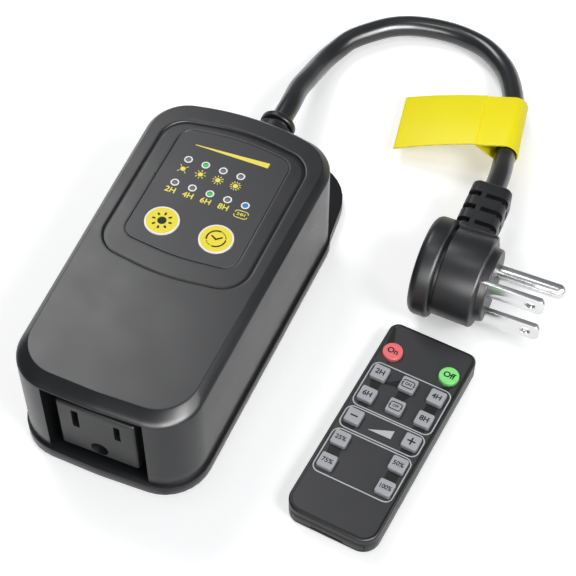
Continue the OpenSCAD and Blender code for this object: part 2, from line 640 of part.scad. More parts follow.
// A round loop drawn out to a point
function teardrop(r, apex) = let(base = atan2(apex.y, apex.x), t = acos(r/norm(apex)))
  concat([apex], [for (k = [0:28]) let(a = base + t + (360 - 2*t)*k/28) [r*cos(a), r*sin(a)]]);
module cord_tag() color([1, 0.93, 0.05]) translate(tag_mid) rotate(tag_turn) rotate([90, 0, 0])
  linear_extrude(tag_h, center = true) {
    difference() {
      polygon(teardrop(tag_loop, tag_apex));
      polygon(teardrop(tag_loop - 0.4, tag_apex*0.8));
    }
    polygon(concat([for (k = [0:10]) let(u = -9 - k*(tag_w - 9)/10) [u, tag_fall(u)]],
      [for (k = [10:-1:0]) let(u = -9 - k*(tag_w - 9)/10) [u, tag_fall(u) - tag_sheet]]));
  }

module along_x(x, h, r1, r2) translate([x, plug_y, plug_z]) rotate([0, 90, 0])
  cylinder(h = h, r1 = r1, r2 = r2, $fn = 72);
module shoulder(x0, x1, d) translate([x0, plug_y, plug_z]) rotate([90, 0, 90])
  linear_extrude(x1 - x0) polygon(rounded([[-4, -plug_d/2 + 2.2 + d, 3], [12.6 - d, -10 + d, 4],
    [12.6 - d, 10 - d, 4], [-4, plug_d/2 - 2.2 - d, 3]]));
module relief_slab(y, t, d) translate([relief_x, y, plug_z]) rotate([-90, 0, 0])
  linear_extrude(t) polygon(rounded([for (p = [[-1, -1], [1, -1], [1, 1], [-1, 1]])
    [p.x*(relief_w/2 - d), p.y*(relief_h/2 - d), 2.6 - min(d, 2)]]));
module plug_body() color(dark) difference() {
  union() {
    translate([plug_x, plug_y, plug_z]) rotate([0, 90, 0]) rotate_extrude($fn = 72)
      polygon(concat([[0, 0]], [for (a = [-90:18:0]) [rim_d/2 - 2.5 + 2.5*cos(a), 2.5 + 2.5*sin(a)]],
        [for (a = [0:18:90]) [rim_d/2 - 1.2 + 1.2*cos(a), rim_t - 1.2 + 1.2*sin(a)]], [[0, rim_t]]));
    along_x(body_x - 0.01, 0.81, plug_d/2 - 1.2, plug_d/2 - 1.2);
    along_x(body_x + 0.8, plug_len - 1.8, plug_d/2 - 0.3, plug_d/2 + 0.1);
    along_x(plug_face_x - 1.01, 1.01, plug_d/2 + 0.1, plug_d/2 - 0.9);
    shoulder(body_x + 0.8, plug_face_x, 0);
    along_x(plug_face_x - 0.01, island_t + 0.01, plug_d/2 - 2.4, plug_d/2 - 2.8);
    relief_slab(plug_y + 8, relief_len - 8 - 0.8, 0);
    relief_slab(plug_y + relief_len - 0.81, 0.81, 0.8);
  }
  for (i = [0:2]) relief_row(plug_y + 16.1 + i*relief_pitch);
  for (s = [-1, 1]) box([island_x - pin_seat - 0.02, blade_y - blade_t/2 - 0.02,
      plug_z + s*slot_pitch/2 - blade_w/2 - 0.02],
    [island_x + 1, blade_y + blade_t/2 + 0.02, plug_z + s*slot_pitch/2 + blade_w/2 + 0.02]);
  translate([island_x - pin_seat - 0.02, ground_pin_y, plug_z]) rotate([0, 90, 0])
    cylinder(h = pin_seat + 1, r = pin_neck_r + 0.02, $fn = 48);
}
// One row of cuts round the strain relief, with webs left standing between them
module relief_row(y) difference() {
  relief_slab(y - relief_cut/2, relief_cut, -1);
  relief_slab(y - relief_cut, 2*relief_cut, relief_cut);
  box([relief_x - 2.2, y - 3, 0], [relief_x - 0.7, y + 3, 40]);
  for (s = [-1, 1]) box([relief_x - 20, y - 3, plug_z + s*2.2 - 0.7],
    [relief_x + 20, y + 3, plug_z + s*2.2 + 0.7]);
}

pin_seat = 8;
// The ground pin is thinner where it sits in the body, up to just above the island
pin_neck_r = ground_pin_d/2 - 0.3;
pin_shoulder = 0.3;
module blade(s) difference() {
  union() {
    box([island_x - pin_seat, blade_y - blade_t/2, plug_z + s*slot_pitch/2 - blade_w/2],
        [island_x + blade_len - 1.2, blade_y + blade_t/2, plug_z + s*slot_pitch/2 + blade_w/2]);
    translate([0, blade_y, plug_z + s*slot_pitch/2]) rotate([90, 0, 0])
      linear_extrude(blade_t, center = true)
        polygon([[island_x + blade_len - 1.21, -blade_w/2], [island_x + blade_len, -blade_w/2 + 1.2],
                 [island_x + blade_len, blade_w/2 - 1.2], [island_x + blade_len - 1.21, blade_w/2]]);
  }
  translate([island_x + blade_len - 4.2, blade_y, plug_z + s*slot_pitch/2]) rotate([90, 0, 0])
    cylinder(h = 4, d = 3.1, center = true, $fn = 32);
}
module hot_blade() color(steel) blade(1);
module neutral_blade() color(steel) blade(-1);
module ground_pin() color(steel) translate([island_x, ground_pin_y, plug_z]) rotate([0, 90, 0]) {
  r = ground_pin_d/2;
  straight = ground_pin_len - r;
  translate([0, 0, -pin_seat]) cylinder(h = pin_seat + pin_shoulder + 0.01, r = pin_neck_r, $fn = 48);
  translate([0, 0, pin_shoulder]) cylinder(h = straight - pin_shoulder, r = r, $fn = 48);
  translate([0, 0, straight - 0.01]) rotate_extrude($fn = 48)
    polygon(concat([[0, 0]], [for (a = [0:15:90]) [r*cos(a), r*sin(a)]]));
}

// Remote, lying flat beside the casing
remote_at = [69.4, -14.3, 0];
remote_turn = -5.2;
remote_wall = 1.1;
remote_floor = 0.8;
tray_z = 0.9;
tray_t = 3;
remote_seam = 4;
remote_board_t = 0.7;
key_sheet_t = 0.15;
remote_roof = remote_t - 0.75;
key_flange_t = 0.35;
key_flange_z = remote_roof - 0.05 - key_flange_t;
key_top = remote_t + key_proud;
first_row_y = remote_l/2 - 10.7;
function row_y(k) = first_row_y - k*key_dy;
tray_w = cell_d + 2;
tray_len = cell_d + 4.2;
tray_y = -remote_l/2;

function remote_outline(d) = [[-remote_w/2 + d, -remote_l/2 + d, 5 - d], [remote_w/2 - d, -remote_l/2 + d, 5 - d],
  [remote_w/2 - d, remote_l/2 - d, 3 - d], [-remote_w/2 + d, remote_l/2 - d, 3 - d]];
module on_remote() translate(remote_at) rotate(remote_turn) children();
round_keys = [[-key_dx, row_y(0)], [key_dx, row_y(0)]];
square_keys = [[-key_dx, row_y(1)], [0, row_y(1)], [key_dx, row_y(1)],
  [-key_dx, row_y(2)], [0, row_y(2)], [key_dx, row_y(2)],
  [-key_dx, row_y(3)], [key_dx, row_y(3)], [-key_dx, row_y(4)], [key_dx, row_y(4)],
  [-key_dx, row_y(5)], [key_dx, row_y(5)]];
function square_outline(s, r) = [[-s/2, -s/2, r], [s/2, -s/2, r], [s/2, s/2, r], [-s/2, s/2, r]];

module remote_top_case() color([0.17, 0.17, 0.18]) on_remote() difference() {
  loft([[remote_outline(0), remote_seam], [remote_outline(0), remote_t - 0.5], [remote_outline(0.5), remote_t]]);
  difference() {
    plate(remote_outline(remote_wall), remote_seam - 1, remote_roof - remote_seam + 1);
    // Round posts on the middle line press the key sheet down where there is no key
    for (k = [0, 3, 4, 5]) translate([0, row_y(k), remote_seam + remote_board_t + key_sheet_t])
      cylinder(h = 2, d = 2.4, $fn = 24);
  }
  for (p = round_keys) translate([p.x, p.y, 0]) cylinder(h = 10, d = round_key_d + 0.3, $fn = 48);
  for (p = square_keys) translate([p.x, p.y, 0]) plate(square_outline(key_side + 0.3, 1.1), 0, 10);
}
module remote_bottom_case() color([0.17, 0.17, 0.18]) on_remote() difference() {
  plate(remote_outline(0), 0, remote_seam);
  difference() {
    plate(remote_outline(remote_wall), remote_floor, remote_seam);
    // Rails beside the tray and a stop behind it carry the board
    for (s = [-1, 1]) box([s > 0 ? tray_w/2 + 0.2 : -remote_w/2, -remote_l/2, 0],
      [s > 0 ? remote_w/2 : -tray_w/2 - 0.2, tray_y + tray_len + 3, remote_seam]);
    box([-8, tray_y + tray_len + 2, 0], [8, tray_y + tray_len + 3, remote_seam]);
    for (s = [-1, 1]) box([s*9 - 1, remote_l/2 - 6, 0], [s*9 + 1, remote_l/2, remote_seam]);
  }
  box([-tray_w/2 - 0.15, -remote_l/2 - 1, remote_floor], [tray_w/2 + 0.15, tray_y + 6, remote_seam + 1]);
}
module remote_key_sheet() color([0.75, 0.75, 0.76]) on_remote()
  plate(remote_outline(remote_wall + 0.3), remote_seam + remote_board_t, key_sheet_t);
module remote_board() color(green_board) on_remote() {
  plate(remote_outline(remote_wall + 0.3), remote_seam, remote_board_t);
  box([-3, 12, remote_seam - 1.4], [3, 17, remote_seam + 0.01]);
}
module remote_battery_tray() color([0.17, 0.17, 0.18]) on_remote() difference() {
  intersection() {
    box([-tray_w/2, tray_y, tray_z], [tray_w/2, tray_y + tray_len, tray_z + tray_t]);
    plate(remote_outline(0), 0, remote_seam);
  }
  translate([0, tray_y + tray_len - 1 - cell_d/2, tray_z + 0.4])
    cylinder(h = 10, d = cell_d + 0.3, $fn = 64);
  box([-5, tray_y - 1, tray_z - 1], [5, tray_y + 0.8, tray_z + 0.5]);
}
module remote_cell() color(steel) on_remote() translate([0, tray_y + tray_len - 1 - cell_d/2, tray_z + 0.4]) {
  cylinder(h = cell_h - 0.3, d = cell_d, $fn = 64);
  translate([0, 0, cell_h - 0.31]) cylinder(h = 0.31, d = cell_d - 2.4, $fn = 64);
}
module remote_contact_clip() color(steel) on_remote() {
  y = tray_y + tray_len;
  box([-4, y + 0.4, remote_floor + 0.5], [4, y + 0.8, remote_seam]);
  box([-4, y + 0.79, remote_seam - 0.4], [4, y + 1.8, remote_seam]);
}

// A key rests under the case's roof and slides in its hole
module square_key(p) on_remote() translate([p.x, p.y, 0]) {
  plate(square_outline(key_side + 1, 1.4), key_flange_z, key_flange_t);
  loft([[square_outline(key_side, 1), key_flange_z + key_flange_t - 0.02],
    [square_outline(key_side, 1), key_top - 0.4], [square_outline(key_side - 0.7, 0.7), key_top]]);
}
module round_key(p) on_remote() translate([p.x, p.y, 0]) {
  translate([0, 0, key_flange_z]) cylinder(h = key_flange_t, d = round_key_d + 0.6, $fn = 48);
  translate([0, 0, key_flange_z + key_flange_t - 0.01])
    cylinder(h = key_top - 0.4 - key_flange_z - key_flange_t + 0.01, d = round_key_d, $fn = 48);
  translate([0, 0, key_top - 0.4]) cylinder(h = 0.4, d1 = round_key_d, d2 = round_key_d - 0.8, $fn = 48);
}
key_grey = [0.70, 0.71, 0.72];
module key_on() color([0.95, 0.48, 0.48]) round_key(round_keys[0]);
module key_off() color([0.56, 0.94, 0.54]) round_key(round_keys[1]);
module key_2h() color(key_grey) square_key(square_keys[0]);
module key_loop_on() color(key_grey) square_key(square_keys[1]);
module key_4h() color(key_grey) square_key(square_keys[2]);
module key_6h() color(key_grey) square_key(square_keys[3]);
module key_loop_off() color(key_grey) square_key(square_keys[4]);
module key_8h() color(key_grey) square_key(square_keys[5]);
module key_dimmer() color(key_grey) square_key(square_keys[6]);
module key_brighter() color(key_grey) square_key(square_keys[7]);
module key_25() color(key_grey) square_key(square_keys[8]);
module key_50() color(key_grey) square_key(square_keys[9]);
module key_75() color(key_grey) square_key(square_keys[10]);
module key_100() color(key_grey) square_key(square_keys[11]);

base_shell();
top_shell();
label_overlay();
casing_screws();
brightness_button();
timer_button();
light_guides_clear();
light_guides_green();
light_guide_blue();
receptacle_body();
hot_contact();
neutral_contact();
ground_contact();
control_board();
control_chip();
tact_switches();
leds();
radio_module();
antenna_coil();
power_board();
board_screws();
heat_sink();
triac();
choke();
film_capacitor();
varistor();
fuse();
smoothing_capacitor();
hot_leads();
neutral_leads();
ground_lead();
cord_gland();
power_cord();
cord_tag();
plug_body();
hot_blade();
neutral_blade();
ground_pin();
remote_top_case();
remote_bottom_case();
remote_key_sheet();
remote_board();
remote_battery_tray();
remote_cell();
remote_contact_clip();
key_on();
key_off();
key_2h();
key_loop_on();
key_4h();
key_6h();
key_loop_off();
key_8h();
key_dimmer();
key_brighter();
key_25();
key_50();
key_75();
key_100();
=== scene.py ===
# %% [markdown]
# # A plug-in dimmer, dressed for the studio
# The solids of the dimmer come packed from the CAD source and stand where they belong.
# This notebook gives them their finishes, and models the pieces that a camera sees closely:
# the upper shell, the printed label, the cord, the plug and the hand remote.
# Every length below is in millimetres and is turned into metres by MM where it is used.

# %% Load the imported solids
import math
import bmesh
import bpy
from mathutils import Matrix, Vector
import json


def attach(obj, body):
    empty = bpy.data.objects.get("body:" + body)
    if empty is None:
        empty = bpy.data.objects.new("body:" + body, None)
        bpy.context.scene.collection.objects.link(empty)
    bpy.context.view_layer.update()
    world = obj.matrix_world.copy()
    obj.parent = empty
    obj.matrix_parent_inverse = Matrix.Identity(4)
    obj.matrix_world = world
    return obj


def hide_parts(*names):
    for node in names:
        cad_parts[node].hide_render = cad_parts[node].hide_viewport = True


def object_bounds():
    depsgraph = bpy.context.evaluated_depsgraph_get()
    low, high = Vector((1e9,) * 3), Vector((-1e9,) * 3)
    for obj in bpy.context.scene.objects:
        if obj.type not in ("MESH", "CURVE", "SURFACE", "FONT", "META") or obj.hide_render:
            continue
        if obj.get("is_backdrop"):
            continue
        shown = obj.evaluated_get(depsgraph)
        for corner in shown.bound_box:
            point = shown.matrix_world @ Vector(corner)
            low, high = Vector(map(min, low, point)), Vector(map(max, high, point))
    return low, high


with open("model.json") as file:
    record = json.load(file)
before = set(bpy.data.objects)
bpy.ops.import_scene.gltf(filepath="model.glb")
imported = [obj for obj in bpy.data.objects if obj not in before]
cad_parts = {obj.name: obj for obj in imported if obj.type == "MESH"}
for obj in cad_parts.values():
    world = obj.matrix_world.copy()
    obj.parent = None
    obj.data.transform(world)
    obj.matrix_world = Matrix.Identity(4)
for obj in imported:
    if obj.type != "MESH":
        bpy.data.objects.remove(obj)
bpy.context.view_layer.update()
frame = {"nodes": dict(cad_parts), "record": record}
scene = bpy.context.scene
MM = 0.001

# %% [markdown]
# ## The camera
# A long lens looks down on the deck from the outlet end, a little from the right.
# The lens and the place were fitted to the photograph's outlines. The scale comes from the
# plug's standard pins.

# %% Camera
camera_data = bpy.data.cameras.new("camera")
camera_data.sensor_width = 36
camera_data.lens = 105.8
camera_data.clip_start, camera_data.clip_end = 0.01, 20
camera = bpy.data.objects.new("camera", camera_data)
scene.collection.objects.link(camera)
camera.location = Vector((141.89, -254.26, 417.04))*MM
look_at = Vector((23.5, 24.65, 0))*MM
camera.rotation_euler = (look_at - camera.location).to_track_quat("-Z", "Y").to_euler()
scene.camera = camera
scene.view_settings.view_transform = "Standard"

# %% [markdown]
# ## Finishes
# Real moulded plastic is never one flat colour. The mould's spark-eroded skin breaks up the gloss,
# and the pigment varies a little. One helper makes such a finish from two noises on Object
# coordinates: a fine one for the bump, and a broad one for colour and roughness.

# %% A helper for finishes
def add_node(tree, kind, **sockets):
    node = tree.nodes.new(kind)
    for name, value in sockets.items():
        node.inputs[name.replace("_", " ")].default_value = value
    return node

def noise_at(tree, scale, detail=2.0, stretch=(1, 1, 1)):
    place = tree.nodes.new("ShaderNodeTexCoord")
    turn = add_node(tree, "ShaderNodeMapping", Scale=stretch)
    noise = add_node(tree, "ShaderNodeTexNoise", Scale=scale, Detail=detail)
    tree.links.new(place.outputs["Object"], turn.inputs["Vector"])
    tree.links.new(turn.outputs["Vector"], noise.inputs["Vector"])
    return noise.outputs["Fac"]

def finish_of(name, colour, rough, grain=2600, depth=0.25, vary=0.06, broad=90, stretch=(1, 1, 1),
              metal=0.0, coat=0.0, coat_rough=0.1, specular=0.5, rough_vary=0.06):
    material = bpy.data.materials.new(name)
    material.use_nodes = True
    material.diffuse_color = (*colour, 1)
    tree = material.node_tree
    shader = tree.nodes["Principled BSDF"]
    shader.inputs["Metallic"].default_value = metal
    shader.inputs["Coat Weight"].default_value = coat
    shader.inputs["Coat Roughness"].default_value = coat_rough
    shader.inputs["Specular IOR Level"].default_value = specular
    wide = noise_at(tree, broad, 3.0, stretch)
    shade = add_node(tree, "ShaderNodeMix")
    shade.data_type = "RGBA"
    shade.inputs[6].default_value = (*[c*(1 - vary) for c in colour], 1)
    shade.inputs[7].default_value = (*[min(1, c*(1 + vary)) for c in colour], 1)
    tree.links.new(wide, shade.inputs[0])
    tree.links.new(shade.outputs[2], shader.inputs["Base Color"])
    skin = noise_at(tree, grain, 2.0, stretch)
    worn = add_node(tree, "ShaderNodeMapRange", To_Min=rough - rough_vary, To_Max=rough + rough_vary)
    tree.links.new(wide, worn.inputs["Value"])
    tree.links.new(worn.outputs["Result"], shader.inputs["Roughness"])
    bump = add_node(tree, "ShaderNodeBump", Strength=depth, Distance=0.00003)
    tree.links.new(skin, bump.inputs["Height"])
    tree.links.new(bump.outputs["Normal"], shader.inputs["Normal"])
    return material

# %% [markdown]
# Each finish is listed under the record's material slot that it belongs to.

# %% The finishes
finishes = {
    "shell_plastic": finish_of("charcoal_shell", (0.0120, 0.0125, 0.0145), 0.30, 2200, 0.28,
                               specular=0.36),
    "label_film": finish_of("label_film", (0.028, 0.0288, 0.0325), 0.38, 1800, 0.20, vary=0.03,
                            specular=0.36),
    "button_yellow": finish_of("yellow_button", (0.88, 0.74, 0.035), 0.45, 1500, 0.12, vary=0.03,
                               specular=0.3),
    "guide_clear": finish_of("clear_guide", (0.17, 0.172, 0.18), 0.4, 3000, 0.05, specular=0.35),
    "guide_green": finish_of("green_guide", (0.03, 0.60, 0.10), 0.4, 3000, 0.05, specular=0.35),
    "guide_blue": finish_of("blue_guide", (0.012, 0.25, 0.62), 0.4, 3000, 0.05, specular=0.35),
    "outlet_plastic": finish_of("outlet_face", (0.018, 0.0185, 0.020), 0.40, 2400, 0.30, specular=0.36),
    "brass": finish_of("contact_brass", (0.60, 0.42, 0.14), 0.32, 700, 0.12, stretch=(1, 6, 1), metal=1.0),
    "circuit_board": finish_of("board_green", (0.012, 0.085, 0.035), 0.35, 900, 0.4, vary=0.25,
                               broad=420, coat=0.3),
    "black_component": finish_of("black_resin", (0.018, 0.018, 0.020), 0.5, 2000, 0.4),
    "switch_plastic": finish_of("switch_grey", (0.06, 0.06, 0.065), 0.45, 2000, 0.2),
    "led_body": finish_of("light_body", (0.78, 0.76, 0.66), 0.3, 2500, 0.1, coat=0.4),
    "radio_blue": finish_of("radio_board", (0.015, 0.045, 0.16), 0.35, 900, 0.3, vary=0.2, broad=420),
    "copper": finish_of("enamelled_copper", (0.62, 0.22, 0.08), 0.28, 900, 0.2, metal=0.9, coat=0.4),
    "steel": finish_of("screw_steel", (0.55, 0.56, 0.57), 0.3, 1200, 0.15, metal=1.0),
    "sink_aluminium": finish_of("sink_aluminium", (0.62, 0.63, 0.65), 0.36, 900, 0.3,
                                stretch=(1, 1, 5), metal=1.0),
    "film_yellow": finish_of("film_capacitor", (0.62, 0.42, 0.05), 0.4, 1800, 0.2),
    "varistor_blue": finish_of("varistor_blue", (0.02, 0.10, 0.33), 0.3, 1500, 0.2, coat=0.3),
    "fuse_glass": finish_of("fuse_glass", (0.66, 0.68, 0.66), 0.15, 1500, 0.05, coat=0.6),
    "sleeve_dark": finish_of("capacitor_sleeve", (0.030, 0.036, 0.060), 0.35, 1800, 0.15),
    "lead_black": finish_of("lead_black", (0.014, 0.014, 0.015), 0.42, 1500, 0.15),
    "lead_white": finish_of("lead_white", (0.72, 0.72, 0.69), 0.42, 1500, 0.15),
    "lead_green": finish_of("lead_green", (0.02, 0.22, 0.04), 0.42, 1500, 0.15),
    "cord_vinyl": finish_of("cord_vinyl", (0.012, 0.0125, 0.014), 0.30, 1500, 0.15, coat=0.35,
                            coat_rough=0.16),
    "plug_vinyl": finish_of("plug_vinyl", (0.0135, 0.014, 0.016), 0.38, 2200, 0.35, specular=0.42),
    "tag_yellow": finish_of("tag_film", (1.0, 0.86, 0.004), 0.45, 900, 0.10, vary=0.02, specular=0.3),
    "nickel": finish_of("bright_nickel", (0.73, 0.73, 0.73), 0.24, 1200, 0.05,
                        stretch=(0.2, 1, 1), metal=1.0, vary=0.03),
    "remote_plastic": finish_of("remote_case", (0.0075, 0.0075, 0.008), 0.36, 2600, 0.35, specular=0.3),
    "key_grey": finish_of("grey_key", (0.40, 0.405, 0.425), 0.5, 2200, 0.15, vary=0.03, specular=0.35),
    "key_red": finish_of("red_key", (0.86, 0.145, 0.155), 0.48, 2200, 0.12, vary=0.03),
    "key_green": finish_of("green_key", (0.22, 0.80, 0.20), 0.48, 2200, 0.12, vary=0.03),
}
slot_of = {part["node"]: part["material_slot"] for part in frame["record"]["subparts"]}
for node_name, solid in frame["nodes"].items():
    solid.data.materials.clear()
    solid.data.materials.append(finishes[slot_of[node_name]])
print("finishes", len(finishes))

# %% [markdown]
# ## The bench
# Small helpers keep every step tidy: they clear the selection, pick up a piece, apply a
# modifier, cut and join. The last step of each piece is to close it: its place goes into its
# mesh, its normals point outwards, it is smooth up to a given angle, and its body, slot and
# replaced solids are named.

# %% Bench helpers
def put_down():
    if bpy.context.object and bpy.context.object.mode != "OBJECT":
        bpy.ops.object.mode_set(mode="OBJECT")
    bpy.ops.object.select_all(action="DESELECT")

def pick_up(piece):
    put_down()
    piece.select_set(True)
    bpy.context.view_layer.objects.active = piece

def add_modifier(piece, kind, **settings):
    pick_up(piece)
    modifier = piece.modifiers.new(kind.title(), kind)
    for name, value in settings.items():
        setattr(modifier, name, value)
    bpy.ops.object.modifier_apply(modifier=modifier.name)

def close_piece(piece, name, body, slot, nodes=(), smooth=32, outwards=True, material=None):
    pick_up(piece)
    bpy.ops.object.transform_apply(location=True, rotation=True, scale=True)
    if outwards:
        bpy.ops.object.mode_set(mode="EDIT")
        bpy.ops.mesh.select_all(action="SELECT")
        bpy.ops.mesh.remove_doubles(threshold=0.000002)
        bpy.ops.mesh.normals_make_consistent(inside=False)
        bpy.ops.object.mode_set(mode="OBJECT")
    bpy.ops.object.shade_smooth_by_angle(angle=math.radians(smooth))
    piece.name = name
    piece.data.name = name
    if material or not piece.data.materials:
        piece.data.materials.clear()
        piece.data.materials.append(material or finishes[slot])
    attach(piece, body)
    if nodes:
        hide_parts(*nodes)
    print(name, len(piece.data.polygons), "faces")
    return piece

def cut_away(piece, *tools):
    for tool in tools:
        pick_up(tool)
        bpy.ops.object.transform_apply(location=True, rotation=True, scale=True)
        add_modifier(piece, "BOOLEAN", object=tool, operation="DIFFERENCE", solver="EXACT")
        bpy.data.objects.remove(tool)

def block(low, high, round_by=0.0, steps=2):
    put_down()
    middle = [(a + b)/2*MM for a, b in zip(low, high)]
    bpy.ops.mesh.primitive_cube_add(size=1, location=middle)
    piece = bpy.context.object
    piece.scale = [(b - a)*MM for a, b in zip(low, high)]
    bpy.ops.object.transform_apply(location=True, rotation=True, scale=True)
    if round_by:
        add_modifier(piece, "BEVEL", width=round_by*MM, segments=steps, limit_method="NONE")
    return piece

def rod(middle, radius, length, turn=(0, 0, 0), sides=48):
    put_down()
    bpy.ops.mesh.primitive_cylinder_add(vertices=sides, radius=radius*MM, depth=length*MM,
                                        location=Vector(middle)*MM, rotation=turn)
    return bpy.context.object

def joined(pieces):
    pick_up(pieces[0])
    for piece in pieces[1:]:
        piece.select_set(True)
    bpy.ops.object.join()
    return bpy.context.object

# %% [markdown]
# ### Outlines and skins
# The casing is drawn as a plan view: a few corners, each with its own radius, two of them wide
# so that the ends bow outwards. A skin starts as a circle of as many points as the outline,
# moved onto it, and is then extruded ring by ring. Points keep their number through every
# extrusion, so each ring can be laid on the next outline exactly.

# %% Outlines and skins
def rounded(corners, steps=10):
    points = []
    for i, (px, py, r) in enumerate(corners):
        a, p, b = (Vector(corners[k % len(corners)][:2]) for k in (i - 1, i, i + 1))
        u, v = (a - p).normalized(), (b - p).normalized()
        half = u.angle(v)/2
        middle = p + (u + v).normalized()*r/math.sin(half)
        start = p + u*r/math.tan(half) - middle
        turn = (math.pi - 2*half)*(1 if (-u).cross(v) > 0 else -1)
        for k in range(steps + 1):
            w = turn*k/steps
            points.append((middle.x + start.x*math.cos(w) - start.y*math.sin(w),
                           middle.y + start.x*math.sin(w) + start.y*math.cos(w)))
    return points

def bowed(y0, half0, bow0, y1, half1, bow1, r, blend):
    def peak(bow, half):
        return blend*(1/math.cos(math.atan(bow/half)) - 1)
    c0, c1 = y0 - peak(bow0, half0), y1 + peak(bow1, half1)
    right = [(0, c0, blend), (half0, c0 + bow0, r), (half1, c1 - bow1, r), (0, c1, blend)]
    return right + [(-x, y, r) for x, y, r in reversed(right) if x > 0]

def mixed(one, two, t):
    return [tuple(a*(1 - t) + b*t for a, b in zip(p, q)) for p, q in zip(one, two)]

def skin(name, rings):
    put_down()
    bpy.ops.mesh.primitive_circle_add(vertices=len(rings[0][0]), fill_type="NGON")
    piece = bpy.context.object
    piece.name = name
    bpy.ops.object.mode_set(mode="EDIT")
    mesh = bmesh.from_edit_mesh(piece.data)
    number = mesh.verts.layers.int.new("number")
    mesh.verts.ensure_lookup_table()
    for i, vert in enumerate(mesh.verts):
        vert[number] = i
    for k, (points, z) in enumerate(rings):
        if k:
            bpy.ops.mesh.extrude_region_move()
        mesh = bmesh.from_edit_mesh(piece.data)
        number = mesh.verts.layers.int["number"]
        for vert in mesh.verts:
            if vert.select:
                x, y = points[vert[number]]
                vert.co = (x*MM, y*MM, z*MM)
        bmesh.update_edit_mesh(piece.data)
    bpy.ops.mesh.select_all(action="SELECT")
    bpy.ops.mesh.normals_make_consistent(inside=False)
    bpy.ops.object.mode_set(mode="OBJECT")
    return piece

# %% [markdown]
# ## The stage
# A pale floor that the camera sees as white, while it still keeps the object's soft shadow.
# The extra brightness is only for camera, glossy and transmission rays, so it lights nothing.

# %% Floor and surroundings
put_down()
bpy.ops.mesh.primitive_plane_add(size=8, location=(0, 0, -0.0003))
floor = bpy.context.object
floor.name = "floor"
floor_look = bpy.data.materials.new("pale_floor")
floor_look.use_nodes = True
tree = floor_look.node_tree
tree.nodes.clear()
paths = tree.nodes.new("ShaderNodeLightPath")
seen = add_node(tree, "ShaderNodeMath")
seen.operation = "MAXIMUM"
seen_through = add_node(tree, "ShaderNodeMath")
seen_through.operation = "MAXIMUM"
tree.links.new(paths.outputs["Is Camera Ray"], seen.inputs[0])
tree.links.new(paths.outputs["Is Glossy Ray"], seen.inputs[1])
tree.links.new(seen.outputs[0], seen_through.inputs[0])
tree.links.new(paths.outputs["Is Transmission Ray"], seen_through.inputs[1])
paper = add_node(tree, "ShaderNodeBsdfDiffuse", Color=(0.80, 0.80, 0.80, 1))
lift = add_node(tree, "ShaderNodeEmission", Color=(1, 1, 1, 1), Strength=0.42)
both = tree.nodes.new("ShaderNodeAddShader")
pick = tree.nodes.new("ShaderNodeMixShader")
out = tree.nodes.new("ShaderNodeOutputMaterial")
tree.links.new(paper.outputs[0], both.inputs[0])
tree.links.new(lift.outputs[0], both.inputs[1])
tree.links.new(seen_through.outputs[0], pick.inputs[0])
tree.links.new(paper.outputs[0], pick.inputs[1])
tree.links.new(both.outputs[0], pick.inputs[2])
tree.links.new(pick.outputs[0], out.inputs["Surface"])
floor.data.materials.append(floor_look)
floor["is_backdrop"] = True

world = bpy.data.worlds.new("studio")
world.use_nodes = True
scene.world = world
tree = world.node_tree
tree.nodes.clear()
paths = tree.nodes.new("ShaderNodeLightPath")
room = add_node(tree, "ShaderNodeBackground", Color=(0.93, 0.95, 1.0, 1), Strength=0.22)
white = add_node(tree, "ShaderNodeBackground", Color=(1, 1, 1, 1), Strength=1.0)
pick = tree.nodes.new("ShaderNodeMixShader")
out = tree.nodes.new("ShaderNodeOutputWorld")
tree.links.new(paths.outputs["Is Camera Ray"], pick.inputs[0])
tree.links.new(room.outputs[0], pick.inputs[1])
tree.links.new(white.outputs[0], pick.inputs[2])
tree.links.new(pick.outputs[0], out.inputs["Surface"])
print("stage ready")

# %% [markdown]
# ## The lamps
# A large soft lamp stands behind and to the left, so shadows fall to the lower right and the
# deck shows a broad sheen. Three wide panels round the front right corner are seen in gloss
# only, and draw the bright band at the shell's corner. Weak ones fill the front and the top.

# %% Lamps
def soft_lamp(name, place, aim, size, power, size_y=None):
    data = bpy.data.lights.new(name, "AREA")
    data.shape = "RECTANGLE"
    data.size, data.size_y = size, size_y or size
    data.energy = power
    lamp = bpy.data.objects.new(name, data)
    scene.collection.objects.link(lamp)
    lamp.location = place
    lamp.rotation_euler = (Vector(aim) - Vector(place)).to_track_quat("-Z", "Y").to_euler()
    return lamp

shell_corner = (0.02, -0.04, 0.035)
panel_reach = 0.9
soft_lamp("key_lamp", (-0.54, 0.50, 0.95), (0.0, 0.0, 0), 0.42, 5.6)
soft_lamp("fill_lamp", (0.74, -0.26, 0.86), shell_corner, 0.40, 5.0, 0.30)
for i, (turn, rise, power) in enumerate([(-78, 32, 7), (-38, 38, 18), (2, 33, 7)]):
    turn, rise = math.radians(turn), math.radians(rise)
    out_by = panel_reach*math.cos(rise)
    place = (shell_corner[0] + out_by*math.cos(turn), shell_corner[1] + out_by*math.sin(turn),
             panel_reach*math.sin(rise))
    panel_lamp = soft_lamp(f"panel_lamp_{i}", place, shell_corner, 0.66, power, 0.42)
    panel_lamp.visible_diffuse = False
soft_lamp("front_lamp", (-0.05, -0.95, 0.45), (0, 0, 0.02), 0.4, 1.2)
soft_lamp("top_lamp", (-0.10, 0.02, 1.15), (0, 0, 0.02), 0.26, 1.6)

# %% [markdown]
# ## The cord
# The real cord is round vinyl, 6.8 mm thick, and the photograph shows all of it: straight out of
# the gland, down to the floor, round in one loop and up to the plug. Its centre line follows the
# route of the CAD source closely, and lies up to 2 mm off it near the tag. A curve with a round
# bevel makes the tube in one piece.

